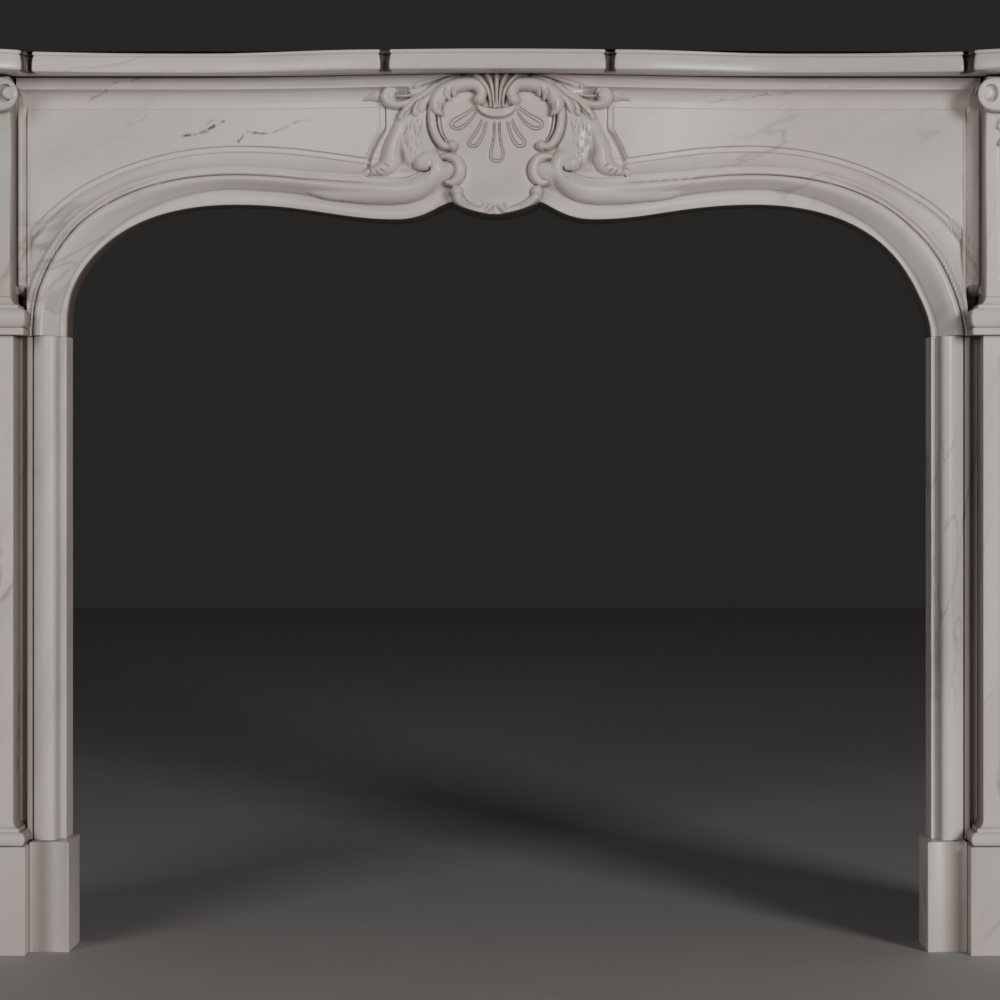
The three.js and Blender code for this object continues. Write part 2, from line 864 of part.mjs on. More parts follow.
// A spiral band seen from the front, round a disc-shaped eye
function volutePair(z) {
  const front = pilasterDepth + voluteDepth;
  const drum = (x, side) => {
    const disc = new THREE.CylinderGeometry(voluteRadius, voluteRadius, front - pilasterDepth + 30, 12);
    const eye = new THREE.CylinderGeometry(voluteRadius * 0.42, voluteRadius * 0.46, 10, 8);
    const place = (geometry, depth, dx, dz) =>
      solid(geometry.translate(x + side * dx, yAt(depth), z + dz));
    const body = place(disc, (front + pilasterDepth - 30) / 2, 0, 0);
    const rings = [];
    const steps = 9;
    for (let i = 0; i <= steps; i += 1) {
      const angle = (-0.5 + (1.75 * i) / steps) * Math.PI;
      const radius = voluteRadius * mix(0.98, 0.56, i / steps);
      const width = mix(5.5, 2.5, i / steps);
      const ring = [
        [radius, front - 4],
        [radius, front + 3],
        [radius - width, front + 3],
        [radius - width, front - 4],
      ].map(
        ([r, depth]) =>
          new THREE.Vector3(x + side * r * Math.cos(angle), yAt(depth), z + r * Math.sin(angle)),
      );
      rings.push(ring);
    }
    return [body, place(eye, front + 1, 2, 1), skin(rings)];
  };
  const inner = shaftInner - voluteOverhang + voluteRadius;
  const outer = shaftOuter + voluteOverhang - voluteRadius;
  return [...drum(inner, -1), ...drum(outer, 1)];
}

// A hanging leaf on the face of the console, with lobes down each side of a middle rib
function hangingLeaf(z0, z1) {
  const ground = pilasterDepth + 1;
  const lobe = (line, width, rise, steps = 3) => {
    const sizes = [0.6, 1, 0.35];
    const stops = line.map(([x, z], i) => [x, z, width * sizes[i], rise * (0.7 + 0.3 * sizes[i])]);
    const curve = new THREE.SplineCurve(stops.map(([x, z]) => new THREE.Vector2(x, z)));
    const size = new THREE.SplineCurve(stops.map(([, , w, h]) => new THREE.Vector2(w, h)));
    const rings = [];
    for (let i = 0; i <= steps; i += 1) {
      const t = i / steps;
      const p = curve.getPoint(t);
      const across = curve.getTangent(t).rotateAround(new THREE.Vector2(), Math.PI / 2);
      const s = size.getPoint(t);
      const place = (u, depth) =>
        new THREE.Vector3(shaftMiddle + p.x + across.x * u * s.x, yAt(depth), p.y + across.y * u * s.x);
      const crest = ridgeArc.map((a) =>
        place(a - 0.5, ground + s.y * Math.sin(Math.PI * a)),
      );
      rings.push([...crest, place(0.5, ground - 8), place(-0.5, ground - 8)]);
    }
    return skin(rings);
  };
  const lobes = [lobe([[0, z1], [0, mix(z0, z1, 0.5)], [0, z0]], 26, 16, 5)];
  const rows = 4;
  for (let i = 0; i < rows; i += 1) {
    const z = mix(z1 - 6, z0 + 26, i / (rows - 1));
    const reach = mix(56, 30, i / (rows - 1));
    for (const side of [-1, 1]) {
      lobes.push(lobe([[side * 6, z], [side * reach * 0.6, z - 8], [side * reach, z - 22]], 19, 11));
    }
  }
  return lobes;
}

function consoleBlock() {
  const z0 = springHeight + jointGap / 2;
  const z1 = friezeTop - jointGap;
  const torusTop = z0 + plinthHeight + consoleFootHeight;
  const plinth = block(
    [shaftInner - baseProjection + 2, shaftOuter + baseProjection - 2],
    [0, pilasterDepth + baseProjection - 2],
    [z0, z0 + plinthHeight + 1],
  );
  const foot = stack([shaftInner, shaftOuter], pilasterDepth, [
    ...footLevels(z0 + plinthHeight, consoleFootHeight),
    { z: torusTop + 12, spread: 0 },
  ]);
  const shaft = sidePrism(consoleProfile(torusTop - 6, z1), shaftInner, shaftOuter);
  const voluteHeight = z1 - voluteDrop - voluteRadius;
  const cushion = block(
    [shaftInner + voluteRadius - voluteOverhang, shaftOuter - voluteRadius + voluteOverhang],
    [pilasterDepth - 20, pilasterDepth + voluteDepth - 3],
    [voluteHeight - voluteRadius * 0.4, voluteHeight + voluteRadius - 1],
  );
  const whole = join([
    plinth,
    foot,
    shaft,
    cushion,
    ...volutePair(voluteHeight),
    ...hangingLeaf(voluteHeight - leafDrop - leafHeight, voluteHeight - leafDrop),
  ]);
  return whole.subtract(besideJamb(z0, z1)).subtract(
    block([footInner - 20, shaftInner], [-1, bandDepth + jointGap], [springHeight, friezeTop + 1]),
  );
}

// Depth of the shelf's front edge, before the notches are rounded off
function shelfSweep(x) {
  const u = Math.abs(x);
  if (u <= centreSectionHalf) return shelfCentreDepth - centreSag * (u / centreSectionHalf) ** 2;
  if (u <= cornerSectionStart) {
    const reach = Math.min(1, (u - centreSectionHalf) / swellReach);
    const swell = (shelfCentreDepth - centreSag - shelfWaistDepth) * Math.cos((reach * Math.PI) / 2) ** 2;
    const flare = Math.max(0, u - cornerSectionStart + flareReach) / flareReach;
    return shelfWaistDepth + swell + flareDepth * flare ** 2;
  }
  const v = (u - shaftMiddle) / cornerSectionHalf;
  return shelfCornerDepth - cornerSag * v ** 2;
}

// Plan of the shelf's front edge: five fields parted by notches, then the rounded corner
function shelfFront() {
  const points = [];
  const sections = [
    [0, centreSectionHalf, 5],
    [centreSectionHalf, cornerSectionStart, 14],
    [cornerSectionStart, shelfHalfLength - shelfCornerRound, 8],
  ];
  sections.forEach(([x0, x1, steps], index) => {
    const rounds = [0, 0.12, 0.45, 1];
    const xs = [];
    if (index > 0) xs.push(...rounds.map((r) => x0 + notchRadius * r));
    else xs.push(0);
    const inner = index > 0 ? x0 + notchRadius : x0;
    const outer = index < 2 ? x1 - notchRadius : x1;
    for (let i = 1; i < steps; i += 1) xs.push(mix(inner, outer, i / steps));
    if (index < 2) xs.push(...rounds.map((r) => x1 - notchRadius * r).reverse());
    else xs.push(x1);
    for (const x of xs) {
      const toStart = index > 0 ? x - x0 : Infinity;
      const toEnd = index < 2 ? x1 - x : Infinity;
      const near = Math.min(toStart, toEnd, notchRadius);
      const dip = notchRadius - Math.sqrt(notchRadius ** 2 - (notchRadius - near) ** 2);
      const atNotch = near <= 0;
      const isRepeat = atNotch && toStart <= 0;
      if (!isRepeat) points.push([x, shelfSweep(x) - dip]);
    }
  });
  const cornerX = shelfHalfLength - shelfCornerRound;
  const cornerDepth = shelfSweep(cornerX);
  for (let i = 1; i <= 5; i += 1) {
    const angle = (Math.PI / 2) * (i / 5);
    points.push([
      cornerX + shelfCornerRound * Math.sin(angle),
      cornerDepth - shelfCornerRound * (1 - Math.cos(angle)),
    ]);
  }
  return points;
}

function shelf() {
  const half = shelfFront();
  const outline = [
    ...half.slice(1).map(([x, depth]) => [-x, depth]).reverse(),
    ...half,
  ];
  const count = outline.length;
  const normals = outline.map((p, i) => {
    const a = outline[Math.max(0, i - 1)];
    const b = outline[Math.min(count - 1, i + 1)];
    const tangent = new THREE.Vector2(b[0] - a[0], b[1] - a[1]).normalize();
    return [tangent.y, -tangent.x];
  });
  const levels = [
    [0, 1.2],
    [1.5, 0],
    [shelfThickness - edgeBead, edgeQuirk],
    [shelfThickness - edgeBead + 1, edgeQuirk - 1.5],
    [shelfThickness, edgeQuirk - 0.5],
  ];
  const rings = levels.map(([z, inset]) => {
    const ring = outline.map(([x, depth], i) => {
      const [nx, nd] = normals[i];
      return new THREE.Vector3(x + nx * inset, yAt(depth + nd * inset), friezeTop + z);
    });
    const end = shelfHalfLength - inset;
    return [
      ...ring,
      new THREE.Vector3(end, yAt(0), friezeTop + z),
      new THREE.Vector3(-end, yAt(0), friezeTop + z),
    ];
  });
  return skin(rings);
}

// The object
const root = new THREE.Group();

function place(name, body) {
  const mesh = new THREE.Mesh(geometryOf(body), new THREE.MeshStandardMaterial(marble));
  mesh.name = name;
  root.add(mesh);
}

place("shelf", shelf());
place("frieze", frieze());
const pairs = {
  console: consoleBlock(),
  pilaster: pilaster(),
  inner_jamb: innerJamb(),
  outer_block: outerFoot(),
  inner_block: innerFoot(),
};
for (const [name, body] of Object.entries(pairs)) {
  place(name + "_right", body);
  place(name + "_left", mirrored(body));
}

export default root;
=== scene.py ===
"""Looks of a marble chimneypiece in the Louis XV manner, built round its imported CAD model.

Lengths in the classes are millimetres. x runs along the object, z up from the floor, and f is the
depth measured forward from the wall face, so that a point's y is the wall's y less f.
"""

from __future__ import annotations

import logging
from dataclasses import dataclass, field
from enum import Enum

import bpy
import numpy as np
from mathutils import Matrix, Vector


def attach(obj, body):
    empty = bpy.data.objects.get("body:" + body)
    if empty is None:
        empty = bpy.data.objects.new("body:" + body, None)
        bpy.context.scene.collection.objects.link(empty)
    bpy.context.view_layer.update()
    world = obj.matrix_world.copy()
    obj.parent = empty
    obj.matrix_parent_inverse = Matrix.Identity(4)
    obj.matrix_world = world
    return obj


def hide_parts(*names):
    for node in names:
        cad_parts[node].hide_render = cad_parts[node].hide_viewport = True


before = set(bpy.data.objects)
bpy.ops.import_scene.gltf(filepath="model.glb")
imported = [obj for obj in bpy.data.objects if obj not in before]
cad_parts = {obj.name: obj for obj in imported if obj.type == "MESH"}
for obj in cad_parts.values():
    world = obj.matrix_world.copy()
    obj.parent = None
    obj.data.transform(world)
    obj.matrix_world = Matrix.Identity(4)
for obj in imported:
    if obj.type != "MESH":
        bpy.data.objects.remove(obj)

log = logging.getLogger("chimneypiece")
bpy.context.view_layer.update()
MM = 0.001
WALL_Y = 134.0
GAP = 0.3
Faces = list[tuple[int, ...]]


# ---------------------------------------------------------------- numbers along curves and fields


def smooth(t: np.ndarray | float) -> np.ndarray:
    """The step 3t^2 - 2t^3, held at 0 before t = 0 and at 1 after t = 1."""
    u = np.clip(t, 0.0, 1.0)
    return u * u * (3.0 - 2.0 * u)


def mix(a, b, t):
    """The value t of the way from a to b."""
    return a + (b - a) * t


def soft_max(a: np.ndarray, b: np.ndarray, radius: float) -> np.ndarray:
    """The larger of two heights, with the crease between them filleted over a radius.

    Args:
        a: Heights.
        b: Heights.
        radius: How far apart the two may be and still be blended.

    Returns:
        max(a, b) plus a parabola that is highest where both are equal.
    """
    near = np.clip(1.0 - np.abs(a - b) / radius, 0.0, 1.0)
    return np.maximum(a, b) + near * near * radius * 0.25


def catmull(stops: np.ndarray, count: int) -> np.ndarray:
    """A smooth line through stops, by the Catmull-Rom cubic on every span.

    Args:
        stops: Rows of values, one row a stop.
        count: How many samples to give.

    Returns:
        The samples, evenly spread over the spans.
    """
    p = np.vstack([2 * stops[0] - stops[1], stops, 2 * stops[-1] - stops[-2]])
    t = np.linspace(0, len(stops) - 1, count)
    i = np.minimum(t.astype(int), len(stops) - 2)
    u = (t - i)[:, None]
    a, b, c, d = p[i], p[i + 1], p[i + 2], p[i + 3]
    return 0.5 * (
        2 * b + (c - a) * u + (2 * a - 5 * b + 4 * c - d) * u**2 + (3 * b - a - 3 * c + d) * u**3
    )


def bezier(points: list[tuple[float, float]], count: int) -> np.ndarray:
    """Samples of the cubic with four control points, as rows of two coordinates."""
    p = np.array(points, float)
    t = np.linspace(0, 1, count)[:, None]
    s = 1 - t
    return s**3 * p[0] + 3 * s * s * t * p[1] + 3 * s * t * t * p[2] + t**3 * p[3]


def even(line: np.ndarray, places: np.ndarray) -> np.ndarray:
    """Points of a line at given shares of its length."""
    steps = np.hypot(*np.diff(line[:, :2], axis=0).T)
    along = np.concatenate([[0], np.cumsum(steps)])
    return np.stack([np.interp(places * along[-1], along, line[:, k]) for k in range(line.shape[1])], 1)


def nearest(x: np.ndarray, z: np.ndarray, line: np.ndarray) -> tuple[np.ndarray, np.ndarray]:
    """How far each place is from a polyline, and which share of it is nearest.

    Args:
        x: Places along the front.
        z: Heights of the places.
        line: Rows of x and z.

    Returns:
        Distance, and share of the line by its segments.
    """
    a, b = line[:-1, :2], line[1:, :2]
    d = b - a
    length = np.maximum((d * d).sum(1), 1e-12)
    best = np.full(x.shape, 1e9)
    share = np.zeros(x.shape)
    for i in range(len(a)):
        px, pz = x - a[i, 0], z - a[i, 1]
        u = np.clip((px * d[i, 0] + pz * d[i, 1]) / length[i], 0, 1)
        gap = np.hypot(px - u * d[i, 0], pz - u * d[i, 1])
        closer = gap < best
        best = np.where(closer, gap, best)
        share = np.where(closer, (i + u) / len(a), share)
    return best, share


def inside(x: np.ndarray, z: np.ndarray, outline: np.ndarray) -> np.ndarray:
    """Whether each place lies in a closed outline, by counting the edges crossed to its right."""
    hits = np.zeros(x.shape, bool)
    ends = np.roll(outline, -1, axis=0)
    for (x0, z0), (x1, z1) in zip(outline, ends):
        if z0 == z1:
            continue
        crosses = (z0 > z) != (z1 > z)
        hits ^= crosses & (x < (x1 - x0) * (z - z0) / (z1 - z0) + x0)
    return hits


# ---------------------------------------------------------------- meshes


def new_piece(name: str, vertices: np.ndarray, faces: Faces, sharp: float = 32.0) -> bpy.types.Object:
    """A smooth-shaded piece from places in millimetres.

    Args:
        name: The piece's name.
        vertices: Rows of x, y and z in millimetres.
        faces: The faces' vertex numbers.
        sharp: Edges that turn by more degrees than this stay crisp.

    Returns:
        The new object, at the origin.
    """
    mesh = bpy.data.meshes.new(name)
    mesh.from_pydata((vertices * MM).tolist(), [], faces)
    mesh.validate()
    mesh.polygons.foreach_set("use_smooth", np.ones(len(mesh.polygons), bool))
    mesh.set_sharp_from_angle(angle=np.radians(sharp))
    mesh.update()
    piece = bpy.data.objects.new(name, mesh)
    bpy.context.scene.collection.objects.link(piece)
    return piece


def ring_faces(rows: int, columns: int, flip: bool) -> Faces:
    """Faces of a tube of closed rings, with a face over each end.

    Args:
        rows: How many rings.
        columns: How many places on a ring.
        flip: Whether the faces are turned round.

    Returns:
        Quads between neighbouring rings, then the two end faces.
    """
    i, j = np.meshgrid(np.arange(rows - 1), np.arange(columns), indexing="ij")
    k = (j + 1) % columns
    quads = np.stack([i * columns + j, i * columns + k, (i + 1) * columns + k, (i + 1) * columns + j], -1)
    quads = quads.reshape(-1, 4)
    ends = [np.arange(columns)[::-1], np.arange(columns) + (rows - 1) * columns]
    way = -1 if flip else 1
    return [tuple(face[::way].tolist()) for face in [*quads, *ends]]


def ring_piece(name: str, rings: np.ndarray, sharp: float = 32.0) -> bpy.types.Object:
    """A closed piece from rings of places, with its faces turned outwards.

    Args:
        name: The piece's name.
        rings: Places by ring, place and coordinate.
        sharp: Edges that turn by more degrees than this stay crisp.

    Returns:
        The new object.
    """
    rows, columns, _ = rings.shape
    flip = volume_of(rings) < 0
    return new_piece(name, rings.reshape(-1, 3), ring_faces(rows, columns, flip), sharp)


def volume_of(rings: np.ndarray) -> float:
    """Six times the volume that a tube of rings holds, negative where its faces point inwards."""
    a, b = rings[:-1], rings[1:]
    a1, b1 = np.roll(a, -1, axis=1), np.roll(b, -1, axis=1)
    walls = (np.cross(a, a1) * b1).sum() + (np.cross(a, b1) * b).sum()
    centre0, centre1 = rings[0].mean(0), rings[-1].mean(0)
    first, last = rings[0], rings[-1]
    ends = (np.cross(np.roll(first, -1, 0), first) * centre0).sum()
    ends += (np.cross(last, np.roll(last, -1, 0)) * centre1).sum()
    return float(walls + ends)


def paint_shade_and_grime(piece: bpy.types.Object, values: np.ndarray) -> None:
    """Stores how dark the painted shade and the grime are at each vertex, from 0 to 1, for the marble to
    read.
    """
    attribute = piece.data.attributes.new("hollow", "FLOAT", "POINT")
    attribute.data.foreach_set("value", np.clip(values, 0, 1).reshape(-1).astype(np.float32))


def hollows(f: np.ndarray) -> np.ndarray:
    """How deep each place of a grid lies under the mean of its neighbours, from 0 to 1."""
    blurred = f.copy()
    for _ in range(5):
        padded = np.pad(blurred, 1, mode="edge")
        beside = padded[:-2, 1:-1] + padded[2:, 1:-1] + padded[1:-1, :-2] + padded[1:-1, 2:]
        blurred = (beside + blurred) / 5
    return np.clip((blurred - f - 0.15) / 1.6, 0, 1)


def front(x: np.ndarray, f: np.ndarray, z: np.ndarray) -> np.ndarray:
    """Places from x, depth forward of the wall and height."""
    x, f, z = np.broadcast_arrays(x, f, z)
    return np.stack([x, WALL_Y - f, z], -1)


def rounded_plan(x0, x1, depth, radius: float, back: float = 0.0, steps: int = 4) -> np.ndarray:
    """Plan rings of a block against the wall, its two front corners rounded by quarter circles.

    Args:
        x0: Inner side, one value a ring.
        x1: Outer side, one value a ring.
        depth: Front, one value a ring.
        radius: Radius of the corners.
        back: Depth of the back.
        steps: Spans in each corner.

    Returns:
        Rows of rings of x and depth, from the back at x0 round the front to the back at x1.
    """
    x0, x1, depth = (np.atleast_1d(np.asarray(v, float)) for v in (x0, x1, depth))
    turn = np.linspace(0, np.pi / 2, steps + 1)
    left = [(x0 + radius * (1 - np.cos(a)), depth - radius * (1 - np.sin(a))) for a in turn]
    right = [(x1 - radius * (1 - np.cos(a)), depth - radius * (1 - np.sin(a))) for a in turn[::-1]]
    places = [(x0, np.full_like(x0, back))] + left + right + [(x1, np.full_like(x1, back))]
    return np.stack([np.stack(np.broadcast_arrays(a, b), -1) for a, b in places], 1)


# ---------------------------------------------------------------- shader maths


class Wire:
    """A shader value that Python's operators combine with Math nodes."""

    def __init__(self, net: "Net", socket) -> None:
        """Keeps the node net and the output socket."""
        self.net = net
        self.socket = socket

    def _maths(self, kind: str, a, b=None) -> "Wire":
        """The result of a Math node of one kind."""
        sockets = {0: a} if b is None else {0: a, 1: b}
        return self.net.make("ShaderNodeMath", {"operation": kind}, sockets)

    def __add__(self, other) -> "Wire":
        """self + other."""
        return self._maths("ADD", self, other)

    __radd__ = __add__

    def __mul__(self, other) -> "Wire":
        """self * other."""
        return self._maths("MULTIPLY", self, other)

    __rmul__ = __mul__

    def __sub__(self, other) -> "Wire":
        """self - other."""
        return self._maths("SUBTRACT", self, other)

    def __rsub__(self, other) -> "Wire":
        """other - self."""
        return self._maths("SUBTRACT", other, self)

    def __abs__(self) -> "Wire":
        """The size of self without its sign."""
        return self._maths("ABSOLUTE", self)

    def larger(self, other: "Wire") -> "Wire":
        """The larger of two values."""
        return self._maths("MAXIMUM", self, other)

    def step(self, low: float, high: float) -> "Wire":
        """0 below low and 1 above high, smooth between, or the other way round where low > high."""
        a, b, x0, x1 = (low, high, 0.0, 1.0) if low < high else (high, low, 1.0, 0.0)
        settings = {"interpolation_type": "SMOOTHSTEP"}
        return self.net.make("ShaderNodeMapRange", settings, {0: self, 1: a, 2: b, 3: x0, 4: x1})


class Net:
    """The node net of one new material."""

    def __init__(self, name: str) -> None:
        """Starts an empty material with a Principled shader."""
        self.material = bpy.data.materials.new(name)
        self.material.use_nodes = True
        self.tree = self.material.node_tree
        self.tree.nodes.clear()
        self.output = self.tree.nodes.new("ShaderNodeOutputMaterial")
        self.shader = self.tree.nodes.new("ShaderNodeBsdfPrincipled")
        self.tree.links.new(self.shader.outputs[0], self.output.inputs[0])

    def make(self, kind: str, settings: dict, sockets: dict, out: int | str = 0) -> Wire:
        """Adds a node.

        Args:
            kind: The node's type.
            settings: Properties, set before the sockets.
            sockets: Values or wires by socket number or name.
            out: Which output to give back.

        Returns:
            The chosen output.
        """
        node = self.tree.nodes.new(kind)
        for key, value in settings.items():
            setattr(node, key, value)
        for key, value in sockets.items():
            self.feed(node.inputs[key], value)
        return Wire(self, node.outputs[out])

    def feed(self, socket, value) -> None:
        """Links a wire to a socket, or sets the socket's own value."""
        if isinstance(value, Wire):
            self.tree.links.new(value.socket, socket)
        else:
            socket.default_value = value

    def blend(self, factor, a, b) -> Wire:
        """The colour that is factor of the way from a to b."""
        settings = {"data_type": "RGBA", "blend_type": "MIX"}
        return self.make("ShaderNodeMix", settings, {0: factor, 6: a, 7: b}, 2)

    def noise(self, vector, scale: float, detail: float = 3.0, rough: float = 0.5, out: int = 0) -> Wire:
        """Fractal noise: its value from 0 to 1, or with out at 1 its colour."""
        sockets = {"Vector": vector, "Scale": scale, "Detail": detail, "Roughness": rough}
        return self.make("ShaderNodeTexNoise", {"noise_dimensions": "3D"}, sockets, out)

    def vector(self, kind: str, a, b) -> Wire:
        """The result of a Vector Math node of one kind."""
        return self.make("ShaderNodeVectorMath", {"operation": kind}, {0: a, 1: b})

    def warped(self, place: Wire, noise: Wire, reach: tuple[float, float, float]) -> Wire:
        """Places pushed about by a noise's colour, by up to half of reach each way."""
        lean = self.vector("SUBTRACT", noise, (0.5, 0.5, 0.5))
        return self.vector("ADD", place, self.vector("MULTIPLY", lean, reach))


def colour(red: float, green: float, blue: float) -> tuple[float, float, float, float]:
    """A display colour from 0 to 255 as linear light."""
    c = np.array([red, green, blue]) / 255.0
    linear = np.where(c <= 0.04045, c / 12.92, ((c + 0.055) / 1.055) ** 2.4)
    return (*[float(v) for v in linear], 1.0)


@dataclass(frozen=True)
class Vein:
    """One dark vein on a face: its ends in metres, its width, and how strong it is."""

    x0: float
    z0: float
    x1: float
    z1: float
    width: float
    strength: float


@dataclass(frozen=True)
class MarbleFinish:
    """White marble with faint grey clouds, hairline veins rising to the right, and a satin polish."""

    name: str
    shift: tuple[float, float, float] = (0.0, 0.0, 0.0)
    tilt: float = 0.42
    veins: tuple[Vein, ...] = ()

    def material(self) -> bpy.types.Material:
        """Builds the marble.

        Returns:
            A material whose colour, roughness and grain follow Object coordinates.
        """
        net = Net(self.name)
        place = net.make("ShaderNodeTexCoord", {}, {}, "Object")
        turned = net.make(
            "ShaderNodeMapping",
            {"vector_type": "POINT"},
            {"Vector": place, "Location": self.shift, "Rotation": (0.0, self.tilt, 0.0)},
        )
        laid = net.vector("MULTIPLY", turned, (0.22, 1.0, 1.0))
        bent = net.warped(laid, net.noise(laid, 3.1, 4.0, 0.5, 1), (0.16, 0.16, 0.16))

        cloud = net.noise(bent, 2.6, 5.0, 0.55).step(0.36, 0.68)
        greening = net.noise(bent, 5.3, 3.0, 0.5).step(0.46, 0.70)
        streak = net.noise(bent, 13.0, 4.0, 0.6).step(0.48, 0.74)
        hair = net.noise(bent, 7.0, 5.0, 0.52)
        where = net.noise(turned, 2.2, 2.0, 0.5).step(0.47, 0.66)
        hairline = abs(hair - 0.5).step(0.017, 0.0) * where
        second = net.noise(bent, 16.0, 4.0, 0.5)
        fine = abs(second - 0.47).step(0.022, 0.0) * net.noise(turned, 3.7, 2.0, 0.5).step(0.52, 0.7)

        white = colour(228, 220, 216)
        warm = colour(209, 193, 189)
        green = colour(190, 192, 185)
        grey = colour(176, 170, 167)
        dark = colour(84, 76, 72)
        tone = net.blend(cloud * 0.9, white, warm)
        tone = net.blend(greening * 0.7, tone, green)
        tone = net.blend(streak * 0.42, tone, grey)
        tone = net.blend(hairline * 0.44, tone, dark)
        tone = net.blend(fine * 0.30, tone, dark)
        if self.veins:
            tone = net.blend(self.drawn_veins(net, place), tone, dark)
        # The hollow attribute holds painted shade in creases, recesses, gaps and the reveal, mixed with some
        # grime; it turns the marble brown, then black where strongest, and rougher.
        shade_and_dirt = net.make("ShaderNodeAttribute", {"attribute_name": "hollow"}, {}, "Fac")
        shade_brown, shade_black = colour(112, 94, 84), colour(30, 22, 18)
        tone = net.blend(shade_and_dirt.step(0.0, 0.75) * 0.62, tone, shade_brown)
        tone = net.blend(shade_and_dirt.step(0.55, 1.0) * 0.9, tone, shade_black)
        net.feed(net.shader.inputs["Base Color"], tone)

        patch = net.noise(place, 9.0, 4.0, 0.6)
        net.feed(net.shader.inputs["Roughness"], patch * 0.12 + 0.20 + shade_and_dirt * 0.35)
        grain = net.noise(place, 420.0, 3.0, 0.6)
        tooling = net.noise(place, 60.0, 3.0, 0.5)
        height = grain * 0.25 + tooling * 0.75
        bump = net.make("ShaderNodeBump", {}, {"Strength": 0.12, "Distance": 0.0012, "Height": height})
        net.feed(net.shader.inputs["Normal"], bump)
        net.shader.inputs["Specular IOR Level"].default_value = 0.36
        return net.material

    def drawn_veins(self, net: Net, place: Wire) -> Wire:
        """How dark the veins make each place.

        Args:
            net: The material's nodes.
            place: Object coordinates.

        Returns:
            A mask that is 1 in the middle of a vein and fades out ragged towards its ends.
        """
        moved = net.warped(place, net.noise(place, 26.0, 5.0, 0.7, 1), (0.022, 0.0, 0.022))
        parts = net.tree.nodes.new("ShaderNodeSeparateXYZ")
        net.feed(parts.inputs[0], moved)
        x, z = Wire(net, parts.outputs[0]), Wire(net, parts.outputs[2])
        flecks = net.noise(place, 85.0, 4.0, 0.65).step(0.40, 0.60)
        total: Wire | None = None
        for vein in self.veins:
            length = float(np.hypot(vein.x1 - vein.x0, vein.z1 - vein.z0))
            ux, uz = (vein.x1 - vein.x0) / length, (vein.z1 - vein.z0) / length
            along = (x - vein.x0) * ux + (z - vein.z0) * uz
            off = abs((x - vein.x0) * (-uz) + (z - vein.z0) * ux)
            middle = abs(along * (1.0 / length) - 0.5).step(0.52, 0.30)
            mark = off.step(vein.width, vein.width * 0.12) * middle * vein.strength
            total = mark if total is None else total.larger(mark)
        return total * (flecks * 0.75 + 0.25)


@dataclass(frozen=True)
class FloorFinish:
    """Pale matt floor."""

    name: str = "pale_floor"

    def material(self) -> bpy.types.Material:
        """Builds the floor's material, with a faint mottling in its colour."""
        net = Net(self.name)
        place = net.make("ShaderNodeTexCoord", {}, {}, "Object")
        mottle = net.noise(place, 5.0, 4.0, 0.6)
        tone = net.blend(mottle, colour(168, 166, 163), colour(178, 176, 173))
        net.feed(net.shader.inputs["Base Color"], tone)
        net.feed(net.shader.inputs["Roughness"], mottle * 0.1 + 0.62)
        return net.material


# ---------------------------------------------------------------- the arch and its mouldings


